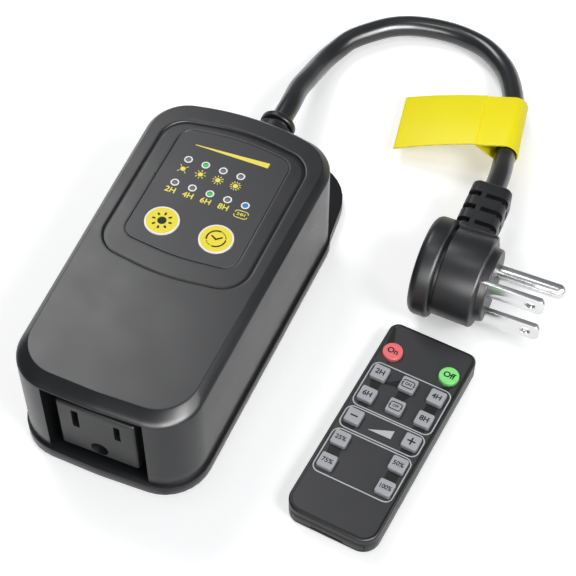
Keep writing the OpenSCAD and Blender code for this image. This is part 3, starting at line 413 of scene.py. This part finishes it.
# %% Cord
plug_x, plug_y, plug_z = 71.6, 38.6, 15.2
cord_route = [(0, 73.4, 15), (0, 82, 14.6), (-1, 91, 12.2), (-1, 99, 9.5), (-1, 107, 6.5),
    (-0.5, 114, 4.4), (1, 120, 3.5), (3.5, 126, 3.5), (8, 131.5, 3.5), (14, 137, 3.5),
    (21, 140.5, 3.5), (30, 142.3, 3.5), (39, 142, 3.6), (48, 139, 4.0), (56.5, 131.5, 5.0),
    (62.3, 121, 7.0), (65.8, 110.5, 8.6), (67.9, 99.5, 9.5), (69.3, 91, 10.4), (70.8, 81.5, 13.1),
    (plug_x, 71.3, plug_z)]
cord_d = 6.8

def smooth_line(points, per=8):
    line = []
    last = len(points) - 1
    for i in range(last):
        a, b, c, d = (Vector(points[min(max(k, 0), last)]) for k in (i - 1, i, i + 1, i + 2))
        for j in range(per):
            t = j/per
            line.append(0.5*(2*b + (c - a)*t + (2*a - 5*b + 4*c - d)*t*t + (3*b - a - 3*c + d)*t**3))
    return line + [Vector(points[-1])]

cord_line = smooth_line(cord_route)
cord_curve = bpy.data.curves.new("cord", "CURVE")
cord_curve.dimensions = "3D"
cord_curve.bevel_depth = cord_d/2*MM
cord_curve.bevel_resolution = 10
cord_curve.use_fill_caps = True
spline = cord_curve.splines.new("POLY")
spline.points.add(len(cord_line) - 1)
for point, place in zip(spline.points, cord_line):
    point.co = (*place*MM, 1)
cord = bpy.data.objects.new("cord_jacket", cord_curve)
scene.collection.objects.link(cord)
cord.data.materials.append(finishes["cord_vinyl"])
spline.use_smooth = True
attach(cord, "casing")
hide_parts("power_cord")

# %% [markdown]
# ## The upper shell
# The shell is one moulding: upright walls, a band that rolls over to the flat deck, a panel set
# half a millimetre into the deck, and a shallow seat for the label. One skin makes all of it.
# The hollow, the outlet pocket and the holes are then cut with Boolean modifiers, as a mould's
# cores would leave them.

# %% Plan of the casing
front_y, rear_y, front_half, rear_half = -55.5, 55.5, 27.2, 29.3
seam_z, band_z, deck_z, panel_z, label_t = 3.62, 34.3, 37.3, 36.8, 0.25
pocket_top = band_z - 0.2

def wall_plan(d):
    return bowed(front_y + d, front_half - d, 0.9, rear_y - d, rear_half - d, 5.8, 13 - d, 80)

def deck_plan(d):
    return bowed(-51.4 + d, 24.6 - d, 0.9, 53.1 - d, 27.3 - d, 5.8, 11.5 - d, 80)

def panel_plan(d):
    return bowed(-9.2 + d, 22.2 - d, 3.2, 46.8 - d, 22.6 - d, 3.8, 8 - d, 60)

def label_plan(d):
    return bowed(-1.9 + d, 17.5 - d, 1.8, 44.1 - d, 17.5 - d, 2.6, 4.5 - d, 60)

# %% Skin of the shell
rings = [(wall_plan(d), z) for d, z in [(1.2, seam_z), (0.3, seam_z), (0.05, seam_z + 0.04),
         (0, seam_z + 0.16), (0, 9), (0, band_z - 0.7), (0.02, band_z - 0.25)]]
for t, h in [(0.02, 0.06), (0.06, 0.14), (0.12, 0.23), (0.20, 0.33), (0.36, 0.48), (0.54, 0.64),
             (0.72, 0.795), (0.88, 0.925), (0.95, 0.978), (0.985, 0.996), (1.0, 1.0)]:
    rings.append((mixed(wall_plan(0), deck_plan(0), t), band_z + (deck_z - band_z)*h))
rings += [(deck_plan(0.12), deck_z), (deck_plan(0.5), deck_z), (deck_plan(1.2), deck_z)]
rings += [(panel_plan(d), z) for d, z in [(-1.5, deck_z), (-0.95, deck_z), (-0.7, deck_z - 0.015),
          (-0.52, deck_z - 0.07), (-0.38, deck_z - 0.17), (-0.28, deck_z - 0.32), (-0.2, panel_z - 0.03),
          (-0.08, panel_z - 0.09), (0.1, panel_z - 0.08), (0.26, panel_z - 0.02), (0.45, panel_z),
          (1.0, panel_z)]]
rings += [(label_plan(d), z) for d, z in [(-1.0, panel_z), (-0.4, panel_z), (-0.22, panel_z - 0.02),
          (-0.16, panel_z - 0.08), (-0.15, panel_z - label_t), (0.3, panel_z - label_t)]]
shell = skin("upper_shell", [(rounded(plan, 12), z) for plan, z in rings])

# %% Hollow, pocket and holes
room_low = rounded(bowed(-45.6, 24.6, 0.1, 53.1, 26.9, 5.8, 10.6, 80), 12)
room_high = rounded(bowed(-44, 21.8, 0.1, 49.5, 24, 5.8, 9, 80), 12)
hollow = skin("hollow", [(room_low, 2.5), (room_low, 32.6), (room_high, 34.6)])
button_at = [(-8.5, 7.8), (8.5, 7.8)]
guide_step, guide_r = 5.6, 0.86
guide_at = [(guide_step*(i - 2), 22.2 + 9.4*row) for row in (0, 1) for i in range(5 - row)]
cut_away(shell, hollow,
         block((-15.3, -58, 2), (15.3, -47.5, pocket_top)),
         block((-12.15, -48, 6.85), (12.15, -44, 28.95)),
         rod((0, 52, 15), 4.65, 12, (math.pi/2, 0, 0)),
         *[rod((x, y, 36), 5.35, 5, sides=96) for x, y in button_at],
         *[rod((x, y, 36), guide_r, 5, sides=28) for x, y in guide_at])
close_piece(shell, "upper_shell", "casing", "shell_plastic", ["top_shell"], smooth=24)

# %% [markdown]
# ## Pieces that keep the CAD shape
# Many solids already have the right shape and only want what every moulding has: edges broken
# by a small radius. A copy of the solid is merged, its flat faces are made whole again, and a
# Bevel modifier rounds every edge that is sharper than a given angle.

# %% Copies with rounded edges
def edged_copy(node_name, name, body, round_by, steps=2, smooth=32, sharp=38, nodes=None, material=None):
    put_down()
    piece = frame["nodes"][node_name].copy()
    piece.data = piece.data.copy()
    for key in list(piece.keys()):
        del piece[key]
    piece.parent = None
    piece.matrix_world = Matrix.Identity(4)
    scene.collection.objects.link(piece)
    pick_up(piece)
    bpy.ops.object.mode_set(mode="EDIT")
    bpy.ops.mesh.select_all(action="SELECT")
    bpy.ops.mesh.remove_doubles(threshold=0.000002)
    bpy.ops.mesh.dissolve_limited(angle_limit=math.radians(0.6), delimit={"NORMAL"})
    bpy.ops.object.mode_set(mode="OBJECT")
    if round_by:
        add_modifier(piece, "BEVEL", width=round_by*MM, segments=steps, limit_method="ANGLE",
                     angle_limit=math.radians(sharp), use_clamp_overlap=True)
    add_modifier(piece, "WEIGHTED_NORMAL", keep_sharp=True, weight=60)
    return close_piece(piece, name, body, slot_of[node_name], nodes or [node_name], smooth, False, material)

edged_copy("base_shell", "base_plate", "casing", 0.18, 2)
edged_copy("cord_gland", "gland", "casing", 0.25, 2)
for node_name in ["light_guides_clear", "light_guides_green", "light_guide_blue"]:
    edged_copy(node_name, node_name + "_domed", "casing", 0.2, 3)

# %% [markdown]
# ## The outlet
# The outlet's face is a block with softly rounded edges that stands in the pocket. Its slots open
# into wider rooms where the contacts sit, so they look as deep and dark as they are.

# %% Outlet block
outlet = block((-12, -53.7, 7), (12, -28.7, 28.8), 0.9, 4)
flange = block((-13.6, -45.9, 5.4), (13.6, -42.9, 30.4), 0.3, 2)
add_modifier(outlet, "BOOLEAN", object=flange, operation="UNION", solver="EXACT")
bpy.data.objects.remove(flange)
pin_off, slot_z, ground_z = 6.35, 22.4, 10.5
slots = []
for x, wide, high in [(-pin_off, 2.1, 7.9), (pin_off, 1.9, 6.6)]:
    low_z, high_z = slot_z - high/2, slot_z + high/2
    slots.append(block((x - wide/2, -55, low_z), (x + wide/2, -50, high_z), 0.15))
    slots.append(block((x - 2.3, -50.2, low_z - 0.6), (x + 2.3, -27, high_z + 0.6)))
arch = rod((0, -49.9, ground_z), 2.65, 8.6, (math.pi/2, 0, 0), 64)
cut_away(arch, block((-3, -55, 6.5), (3, -44, 8.0)))
cut_away(outlet, *slots, arch, rod((0, -34, ground_z), 3.5, 24.4, (math.pi/2, 0, 0), 48))
close_piece(outlet, "outlet_block", "casing", "outlet_plastic", ["receptacle_body"], smooth=30)

# %% [markdown]
# ## The two buttons
# Each button is turned about its own axis: a post, a collar that holds it under the deck, and a
# cap with a broken edge. Faces near the rim get a white finish and the field stays yellow, as a
# two-colour moulding does.

# %% Turned pieces
def ring_of(r, sides):
    return [(r*math.cos(2*math.pi*k/sides), r*math.sin(2*math.pi*k/sides)) for k in range(sides)]

def turned(name, profile, sides=64):
    """profile: (radius, height) pairs from the foot to the top."""
    return skin(name, [(ring_of(r, sides), h) for r, h in profile])

def quarter(r, h, by, start, end, steps=5):
    """Part of a circle of radius by round (r, h), from angle start to angle end."""
    return [(r + by*math.cos(math.radians(start + (end - start)*k/steps)),
             h + by*math.sin(math.radians(start + (end - start)*k/steps))) for k in range(steps + 1)]

# %% Buttons
rim_white = finish_of("white_rim", (0.88, 0.88, 0.87), 0.42, 1500, 0.12, vary=0.02)
cap_z = panel_z + 0.25

def deck_button(x, y, name):
    cap = turned(name, [(0.4, 31.7), (1.3, 31.7), (1.5, 31.9), (1.5, 33.5), (5.6, 33.5), (5.7, 33.6),
                        (5.7, 34.4), (5.2, 34.4)] + quarter(4.95, cap_z - 0.25, 0.25, 0, 90)
                       + [(4.72, cap_z), (4.66, cap_z), (2, cap_z)], 96)
    cap.location = (x*MM, y*MM, 0)
    cap.data.materials.append(finishes["button_yellow"])
    cap.data.materials.append(rim_white)
    for face in cap.data.polygons:
        far = max(math.hypot(*cap.data.vertices[v].co[:2]) for v in face.vertices)
        face.material_index = 1 if far > 4.7*MM and face.center.z > 34.5*MM else 0
    return close_piece(cap, name + "_cap", name, "button_yellow", [name], smooth=30)

for (x, y), name in zip(button_at, ["brightness_button", "timer_button"]):
    deck_button(x, y, name)

# %% [markdown]
# ## The label and its print
# The label is a thin sheet in its seat. Prints are real layers of ink: outlines and letters given
# two hundredths of a millimetre. Letters come from a text object that is made a mesh.

# %% Label sheet
label = skin("label_sheet", [(rounded(label_plan(d), 12), z) for d, z in
    [(0.05, panel_z - label_t + 0.01), (0.0, panel_z - 0.05), (0.05, panel_z), (0.4, panel_z)]])
cut_away(label, *[rod((x, y, panel_z), 5.32, 3, sides=96) for x, y in button_at],
         *[rod((x, y, panel_z), guide_r, 3, sides=28) for x, y in guide_at])
close_piece(label, "label_sheet", "casing", "label_film", ["label_overlay"], smooth=30)

# %% Ink helpers
inks = {"yellow": finish_of("yellow_ink", (0.90, 0.78, 0.09), 0.45, 1500, 0.1, vary=0.03, specular=0.3),
        "white": finish_of("white_ink", (0.86, 0.86, 0.86), 0.45, 1500, 0.1, vary=0.02),
        "black": finish_of("black_ink", (0.008, 0.008, 0.008), 0.45, 1500, 0.1, vary=0.1, specular=0.2),
        "dark": finish_of("dark_ink", (0.018, 0.018, 0.020), 0.5, 1500, 0.1, vary=0.1, specular=0.2),
        "pale": finish_of("pale_ink", (0.50, 0.51, 0.52), 0.45, 1500, 0.1, vary=0.03)}
ink_t = 0.02

def ink_shape(points, z):
    return skin("ink", [(points, z - 0.004), (points, z + ink_t)])

def ink_disc(x, y, r, z, sides=36):
    return ink_shape([(x + px, y + py) for px, py in ring_of(r, sides)], z)

def ink_stroke(points, width, z, closed=False):
    """A line of even width along the points."""
    n = len(points)
    left, right = [], []
    for i in range(n):
        a = points[(i - 1) % n] if closed or i else points[i]
        b = points[(i + 1) % n] if closed or i < n - 1 else points[i]
        along = (Vector(b) - Vector(a)).normalized()
        side = Vector((-along.y, along.x))*width/2
        left.append(tuple(Vector(points[i]) + side))
        right.append(tuple(Vector(points[i]) - side))
    if not closed:
        return ink_shape(left + right[::-1], z)
    outer = ink_shape(right, z)
    inner = skin("inner", [(left, z - 1), (left, z + 1)])
    cut_away(outer, inner)
    return outer

def arc(x, y, r, start, end, steps=20):
    return [(x + r*math.cos(math.radians(start + (end - start)*k/steps)),
             y + r*math.sin(math.radians(start + (end - start)*k/steps))) for k in range(steps + 1)]

def letters(words, x, y, z, size, bold=0.0, narrow=1.0, turn=0.0, spacing=1.0):
    put_down()
    bpy.ops.object.text_add(location=(x*MM, y*MM, (z + ink_t/2 - 0.002)*MM), rotation=(0, 0, turn))
    text = bpy.context.object
    text.data.body = words
    text.data.size = size*MM
    text.data.offset = bold*size*MM
    text.data.extrude = (ink_t/2 + 0.002)*MM
    text.data.align_x, text.data.align_y = "CENTER", "CENTER"
    text.data.space_character = spacing
    text.scale.x = narrow
    text.data.resolution_u = 4
    bpy.ops.object.convert(target="MESH")
    bpy.ops.object.transform_apply(location=True, rotation=True, scale=True)
    return bpy.context.object

def close_ink(pieces, name, body, slot, ink):
    piece = joined(pieces)
    return close_piece(piece, name, body, slot, smooth=20, outwards=False, material=inks[ink])

def sun(x, y, z, disc_r, r0, r1, rays, width, start=0.0):
    made = [ink_disc(x, y, disc_r, z)]
    for k in range(rays):
        w = math.radians(start + 360*k/rays)
        made.append(ink_stroke([(x + r*math.cos(w), y + r*math.sin(w)) for r in (r0, r1)], width, z))
    return made

# %% Print on the label
marks = []
for k, (rays, start) in enumerate([(4, 45), (8, 0), (10, 0), (12, 0)]):
    marks += sun(guide_step*(k - 2), 27.75, panel_z, 0.78, 1.02, 1.7 if rays > 4 else 1.85, rays, 0.24,
                 start)
for k, words in enumerate(["2H", "4H", "6H", "8H"]):
    marks.append(letters(words, -11.25 + guide_step*k, 19.15, panel_z, 2.75, bold=0.018))
marks.append(letters("24H", 11.4, 18.7, panel_z, 1.45, bold=0.02, narrow=1.05))
loop_left, loop_right = 9.35, 13.45
for x0, x1, y0, y1, y2 in [(loop_left, loop_right, 19.0, 20.0, 19.3),
                           (loop_right, loop_left, 18.4, 17.4, 18.1)]:
    half_loop = rounded([(x0, y0, 0.05), (x0, y1, 0.9), (x1, y1, 0.9), (x1, y2, 0.05)], 4)[5:-5]
    marks.append(ink_stroke(half_loop, 0.26, panel_z))
marks.append(ink_shape([(-11.6, 37.5), (11.6, 37.5), (11.6, 39.4), (-11.6, 37.75)], panel_z))
close_ink(marks, "label_legends", "casing", "label_film", "yellow")
rings_drawn = [ink_stroke(arc(x, y, 1.08, 0, 350, 35), 0.42, panel_z, True) for x, y in guide_at]
close_ink(rings_drawn, "light_rings", "casing", "label_film", "white")

# %% Print on the buttons
close_ink(sun(*button_at[0], cap_z, 1.35, 2.05, 3.05, 8, 0.6), "brightness_mark", "brightness_button",
          "button_yellow", "black")
clock_x, clock_y = button_at[1]
clock_r = 2.8
clock = [ink_stroke(arc(clock_x, clock_y, clock_r, start, end), 0.48, cap_z)
         for start, end in [(80, 205), (-95, 10)]]
clock += [ink_stroke(hand, 0.5, cap_z)
          for hand in ([(6.85, 8.45), (8.6, 7.5)], [(8.35, 7.4), (10.1, 8.9)])]
for w in [22, 34, 46, 58, 70, 217, 229, 241, 253]:
    x, y = arc(clock_x, clock_y, clock_r, w, w, 1)[0]
    clock.append(ink_disc(x, y, 0.2, cap_z, 10))
close_ink(clock, "timer_mark", "timer_button", "button_yellow", "black")

# %% [markdown]
# ## The plug
# The plug lies on its side, so its pieces are drawn upright and then laid along +X. The finger
# rim, the groove behind it, the body and the raised island are one turned shape. The shoulder and
# the slab of the strain relief are added, and the slab is slotted from all four sides.

# %% Plug body
def pin_place(y, z):
    return Matrix(((0, 0, 1, 0), (1, 0, 0, y*MM), (0, 1, 0, z*MM), (0, 0, 0, 1)))

blade_y, ground_y = 32.4, 44.3
lay_x = pin_place(plug_y, plug_z)
lay_y = Matrix(((1, 0, 0, plug_x*MM), (0, 0, 1, 0), (0, -1, 0, plug_z*MM), (0, 0, 0, 1)))

def laid(piece, turn):
    pick_up(piece)
    piece.matrix_world = turn
    bpy.ops.object.transform_apply(location=True, rotation=True, scale=True)
    return piece

def added(piece, *others):
    for other in others:
        add_modifier(piece, "BOOLEAN", object=other, operation="UNION", solver="EXACT")
        bpy.data.objects.remove(other)
    return piece

plug = laid(turned("plug", [(3, 61), (9, 61)] + quarter(12.7, 63.5, 2.5, -90, 0, 10)
    + quarter(14.0, 66.3, 1.2, 0, 90, 6) + [(13.4, 67.5), (12.5, 67.5), (12.5, 68.3), (13.0, 68.3)]
    + quarter(13.0, 68.7, 0.4, -90, 0, 4) + [(13.8, 79.4)] + quarter(12.7, 79.4, 1.1, 0, 90, 6)
    + [(11.6, 80.5), (11.35, 80.65), (11.1, 82.4)] + quarter(10.5, 82.5, 0.5, 0, 90, 4) + [(9.5, 83)], 120), lay_x)

def relief_plan(half_w, half_h, r):
    return rounded([(-half_w, -half_h, r), (half_w, -half_h, r), (half_w, half_h, r),
                    (-half_w, half_h, r)], 8)

def shoulder_plan(d):
    return rounded([(-4, -11.2 + d, 3), (12.6 - d, -10 + d, 4), (12.6 - d, 10 - d, 4),
                    (-4, 11.2 - d, 3)], 8)

shoulder = laid(skin("shoulder", [(shoulder_plan(d), x) for d, x in [(0.5, 68.32), (0.1, 68.42),
    (0, 68.8), (0, 79.4), (0.33, 80.2), (1.1, 80.49)]]), lay_x)
slab = laid(skin("slab", [(relief_plan(w, h, r), y) for w, h, r, y in [(6.3, 5.8, 2.6, 45),
    (6.3, 5.8, 2.6, 70.0), (6.2, 5.7, 2.5, 70.6), (5.9, 5.4, 2.3, 71.0), (5.4, 4.9, 2.0, 71.2),
    (4.4, 4.1, 1.6, 71.3)]]), lay_y)

# %% Slots of the strain relief
def relief_cuts(y):
    """Four pockets round the slab; webs stay between them."""
    cuts = []
    for x0, x1 in [(64, 69.4), (70.9, 79)]:
        for z0, z1 in [(3.8, 8), (-8, -3.8)]:
            cuts.append(block((x0, y - 1, plug_z + z0), (x1, y + 1, plug_z + z1), 0.15))
    for x0, x1 in [(64, 67.3), (75.9, 79)]:
        for z0, z1 in [(-1.5, 1.5), (2.9, 8), (-8, -2.9)]:
            cuts.append(block((x0, y - 1.001, plug_z + z0), (x1, y + 1.001, plug_z + z1), 0.15))
    return cuts

cut_away(slab, *[cut for y in (54.7, 60.15, 65.6) for cut in relief_cuts(y)])
added(plug, shoulder, slab)
seat_y, seat_z, seat_x = 0.78, 3.195, 74.98
seats = [block((seat_x, blade_y - seat_y, plug_z + s*pin_off - seat_z),
               (84, blade_y + seat_y, plug_z + s*pin_off + seat_z)) for s in (-1, 1)]
round_seat = laid(turned("seat", [(2.1, seat_x), (2.1, 84)], 48), pin_place(ground_y, plug_z))
cut_away(plug, *seats, round_seat)
close_piece(plug, "plug_moulding", "casing", "plug_vinyl", ["plug_body"], smooth=28)

# %% [markdown]
# ## Blades and ground pin
# The two blades are one shape, modelled once and copied. Their tips taper and each has
# a hole near the tip. The ground pin is turned, with a round nose.

# %% Pins
def blade_plan(half_t, half_w):
    return [(-half_t, -half_w), (half_t, -half_w), (half_t, half_w), (-half_t, half_w)]

blade = skin("blade", [(blade_plan(0.76, 3.175), 75), (blade_plan(0.76, 3.175), 98.7),
                       (blade_plan(0.66, 2.2), 99.8), (blade_plan(0.5, 1.9), 100)])
cut_away(blade, rod((0, 0, 95.8), 1.55, 6, (0, math.pi/2, 0), 40))
add_modifier(blade, "BEVEL", width=0.12*MM, segments=2, limit_method="ANGLE", angle_limit=math.radians(28))
other_blade = blade.copy()
other_blade.data = blade.data.copy()
scene.collection.objects.link(other_blade)
laid(blade, pin_place(blade_y, plug_z + pin_off))
laid(other_blade, pin_place(blade_y, plug_z - pin_off))
close_piece(blade, "blade_hot", "casing", "nickel", ["hot_blade"], smooth=24)
close_piece(other_blade, "blade_neutral", "casing", "nickel", ["neutral_blade"], smooth=24)
ground = laid(turned("ground", [(1, 75), (2.08, 75), (2.08, 83.3), (2.3, 83.3), (2.38, 83.4), (2.38, 101.22)]
    + [(2.38*math.cos(math.radians(a)), 101.22 + 2.38*math.sin(math.radians(a))) for a in range(9, 88, 9)]
    + [(0.15, 103.6)], 64), pin_place(ground_y, plug_z))
close_piece(ground, "ground_prong", "casing", "nickel", ["ground_pin"], smooth=30)

# %% [markdown]
# ## The yellow tag
# A strip of film is folded round the cord and stuck to itself. Its section is drawn once and
# raised to the tag's height: a loop drawn out to a point, and a flag that droops and twists a little.

# %% Tag
tag_place = (Matrix.Translation(Vector((67.2, 103.4, 9.2))*MM) @ Matrix.Rotation(math.radians(10.1), 4, "Z")
             @ Matrix.Rotation(math.radians(-6.2), 4, "Y") @ Matrix.Rotation(math.radians(-5), 4, "X")
             @ Matrix.Rotation(math.radians(90), 4, "X"))
tag_h, tag_sheet, tag_loop = 23, 0.5, 4.1

def tag_fall(u):
    return tag_loop - 0.004*u*u

def drawn_loop(r, apex, steps=48):
    base = math.atan2(apex[1], apex[0])
    t = math.acos(r/math.hypot(*apex))
    return [apex] + [(r*math.cos(base + t + (2*math.pi - 2*t)*k/steps),
                      r*math.sin(base + t + (2*math.pi - 2*t)*k/steps)) for k in range(steps + 1)]

flag_start, flag_long = 9, 27
apex = (-10, tag_fall(10) - tag_sheet/2)
along = [-flag_start - flag_long*k/24 for k in range(25)]
flag = [(u, tag_fall(u)) for u in along] + [(u, tag_fall(u) - tag_sheet) for u in reversed(along)]
tag = skin("tag", [(flag, -tag_h/2), (flag, tag_h/2)])
loop = drawn_loop(tag_loop, apex)
added(tag, skin("loop", [(loop, -tag_h/2), (loop, tag_h/2)]))
inner = drawn_loop(tag_loop - 0.4, (apex[0]*0.8, apex[1]*0.8))
cut_away(tag, skin("inside", [(inner, -20), (inner, 20)]))
add_modifier(tag, "BEVEL", width=0.12*MM, segments=2, limit_method="ANGLE", angle_limit=math.radians(50))
for vert in tag.data.vertices:
    u, v, h = vert.co
    turn = math.radians(4)*max(0, -u/MM - flag_start)/flag_long
    vert.co = (u, v*math.cos(turn) - h*math.sin(turn), v*math.sin(turn) + h*math.cos(turn))
laid(tag, tag_place)
close_piece(tag, "folded_tag", "casing", "tag_yellow", ["cord_tag"], smooth=30)

# %% [markdown]
# ## The hand remote
# The remote is drawn lying square at the origin and then moved to its place with one matrix.
# Its case is a thin skin with a soft upper edge and a hole for every key.

# %% Plan of the remote
remote_place = Matrix.Translation(Vector((69.4, -14.3, 0))*MM) @ Matrix.Rotation(math.radians(-5.2), 4, "Z")
remote_t = 6.5
rows = [24.2 - 8.32*k for k in range(6)]
column = 9.0
square_keys = [("key_2h", -column, rows[1]), ("key_loop_on", 0, rows[1]), ("key_4h", column, rows[1]),
               ("key_6h", -column, rows[2]), ("key_loop_off", 0, rows[2]), ("key_8h", column, rows[2]),
               ("key_dimmer", -column, rows[3]), ("key_brighter", column, rows[3]),
               ("key_25", -column, rows[4]), ("key_50", column, rows[4]),
               ("key_75", -column, rows[5]), ("key_100", column, rows[5])]
round_keys = [("key_on", -column, rows[0]), ("key_off", column, rows[0])]
key_at = {name: (x, y) for name, x, y in square_keys + round_keys}

def remote_plan(d):
    return rounded([(-13.8 + d, -34.9 + d, 5 - d), (13.8 - d, -34.9 + d, 5 - d),
                    (13.8 - d, 34.9 - d, 3 - d), (-13.8 + d, 34.9 - d, 3 - d)], 10)

def key_plan(side, r):
    half = side/2
    return rounded([(-half, -half, r), (half, -half, r), (half, half, r), (-half, half, r)], 6)

def moved(points, x, y):
    return [(px + x, py + y) for px, py in points]

def on_remote(piece, name, body, slot, nodes=(), smooth=30, outwards=True, material=None):
    pick_up(piece)
    bpy.ops.object.transform_apply(location=True, rotation=True, scale=True)
    laid(piece, remote_place)
    return close_piece(piece, name, body, slot, nodes, smooth, outwards, material)

# %% Case of the remote
# The case's big upward faces get a lighter grey than its sides: painted light on the top, over the case's own
# near-black.
lit_top_look = finish_of("remote_top_painted_light", (0.030, 0.0305, 0.033), 0.36, 2600, 0.35, specular=0.4)
edge_r = 0.7
case = skin("case", [(remote_plan(d), z) for d, z in [(0.3, 4.02), (0.08, 4.02), (0, 4.15), (0, 5.8)]
    + [(edge_r - edge_r*math.cos(math.radians(a)), 5.8 + edge_r*math.sin(math.radians(a)))
       for a in range(12, 90, 13)]
    + [(0.75, remote_t), (0.95, remote_t), (1.0, remote_t - 0.05), (1.06, remote_t - 0.05), (1.1, remote_t)]])
cut_away(case, skin("room", [(remote_plan(1.1), 3.5), (remote_plan(1.1), 5.75)]),
         *[rod((x, y, 6), 3.15, 6, sides=64) for _, x, y in round_keys],
         *[skin("hole", [(moved(key_plan(5.1, 0.8), x, y), 3), (moved(key_plan(5.1, 0.8), x, y), 9)])
           for _, x, y in square_keys])
case.data.materials.append(finishes["remote_plastic"])
case.data.materials.append(lit_top_look)
# Big faces at the top height take the lighter grey as painted light; all other faces keep the case's own colour.
for face in case.data.polygons:
    face.material_index = 1 if face.center.z > (remote_t - 0.001)*MM and face.area > 1e-4 else 0
on_remote(case, "remote_upper_case", "casing", "remote_plastic", ["remote_top_case"], smooth=24)
edged_copy("remote_bottom_case", "remote_lower_case", "casing", 0.3, 3)
edged_copy("remote_battery_tray", "remote_tray", "battery_tray", 0.12, 2)

# %% [markdown]
# ## Keys
# One square key and one round key are modelled, with a soft rim and a very slight dish.
# Each is copied with its own mesh and hung on a body of its own.

# %% Keys
key_flange_z, key_top = 5.35, 7.7
square_key = skin("square_key", [(key_plan(side, r), z) for side, r, z in [
    (5.7, 1.4, key_flange_z), (5.8, 1.4, key_flange_z + 0.05), (5.8, 1.4, key_flange_z + 0.35),
    (4.8, 0.6, key_flange_z + 0.35), (4.8, 0.6, key_top - 0.34), (4.76, 0.58, key_top - 0.17),
    (4.64, 0.52, key_top - 0.05), (4.44, 0.42, key_top), (4.2, 0.4, key_top - 0.005),
    (3.2, 0.3, key_top - 0.01)]])
round_key = turned("round_key", [(1, key_flange_z), (3.3, key_flange_z), (3.3, key_flange_z + 0.35),
    (3.0, key_flange_z + 0.35), (3.0, key_top - 0.45), (2.96, key_top - 0.22), (2.84, key_top - 0.08),
    (2.66, key_top - 0.01), (2.4, key_top), (1.6, key_top - 0.01)], 72)

def key_from(pattern, name, x, y):
    key = pattern.copy()
    key.data = pattern.data.copy()
    scene.collection.objects.link(key)
    key.location = (x*MM, y*MM, 0)
    return on_remote(key, name + "_cap", name, slot_of[name], [name], smooth=28)

for name, x, y in square_keys:
    key_from(square_key, name, x, y)
for name, x, y in round_keys:
    key_from(round_key, name, x, y)
for pattern in (square_key, round_key):
    bpy.data.objects.remove(pattern)

# %% [markdown]
# ## Print on the remote
# Thin frames gather the keys into groups, and every key carries its own words or sign.

# %% Frames and wedge
def frame_line(x0, y0, x1, y1, r, width):
    return ink_stroke(rounded([(x0, y0, r), (x1, y0, r), (x1, y1, r), (x0, y1, r)], 5), width, remote_t, True)

frames = [frame_line(-12.3, 3.5, 12.5, 19.6, 2.2, 0.34), frame_line(-12.3, -4.8, 12.2, 2.8, 2.2, 0.34),
          frame_line(-12.3, -21.1, 12.1, -5.6, 2.2, 0.34)]
frames.append(ink_shape([(-3.9, -2.35), (3.25, -2.27), (3.2, 0.6)], remote_t))
on_remote(joined(frames), "remote_frames", "casing", "remote_plastic", material=inks["pale"], outwards=False)

# %% Legends of the keys
def legend(name, pieces):
    on_remote(joined(pieces), name + "_legend", name, slot_of[name], material=inks["dark"], outwards=False)

for name, words in [("key_2h", "2H"), ("key_4h", "4H"), ("key_6h", "6H"), ("key_8h", "8H")]:
    legend(name, [letters(words, *key_at[name], key_top, 2.35, bold=0.03)])
for name, words in [("key_25", "25%"), ("key_50", "50%"), ("key_75", "75%"), ("key_100", "100%")]:
    narrow = 0.98 if len(words) < 4 else 0.86
    legend(name, [letters(words, *key_at[name], key_top, 2.05, bold=0.022, narrow=narrow)])
for name, words in [("key_on", "On"), ("key_off", "Off")]:
    legend(name, [letters(words, *key_at[name], key_top, 2.6, bold=0.028)])
legend("key_dimmer", [ink_stroke([(-column - 1.15, rows[3]), (-column + 1.15, rows[3])], 0.5, key_top)])
legend("key_brighter", [ink_stroke([(column - 1.25, rows[3]), (column + 1.25, rows[3])], 0.5, key_top),
                        ink_stroke([(column, rows[3] + 0.25), (column, rows[3] + 1.25)], 0.5, key_top),
                        ink_stroke([(column, rows[3] - 0.25), (column, rows[3] - 1.25)], 0.5, key_top)])

def broken_loop(x, y, half_w, half_h, r, width, z):
    """Two hooked strokes that chase each other round a legend."""
    made = []
    for s in (1, -1):
        begin = 0 if s > 0 else 180
        corner_x, corner_y = s*(half_w - r), y + s*(half_h - r)
        path = ([(x + s*half_w, y - s*0.05)] + arc(x + corner_x, corner_y, r, begin, begin + 90, 6)
                + arc(x - corner_x, corner_y, r, begin + 90, begin + 170, 6))
        made.append(ink_stroke(path, width, z))
        tip = (x + s*half_w, y - s*0.55)
        hook = [(tip[0] - width*1.3, y - s*0.05), tip, (tip[0] + width*1.3, y - s*0.05)]
        made.append(ink_shape(hook[::s], z))
    return made

for name, words, y in [("key_loop_on", "ON", rows[1]), ("key_loop_off", "OFF", rows[2])]:
    legend(name, [letters(words, 0, y, key_top, 1.25, bold=0.03, narrow=1.0 if len(words) < 3 else 0.85)]
                 + broken_loop(0, y, 1.75, 1.2, 0.6, 0.32, key_top))

# %% [markdown]
# ## The last step
# The box round everything that is shown is measured and printed.

# %% Size of the scene
low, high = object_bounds()
import json
print("visual box", [round(v, 4) for v in (*low, *high)])
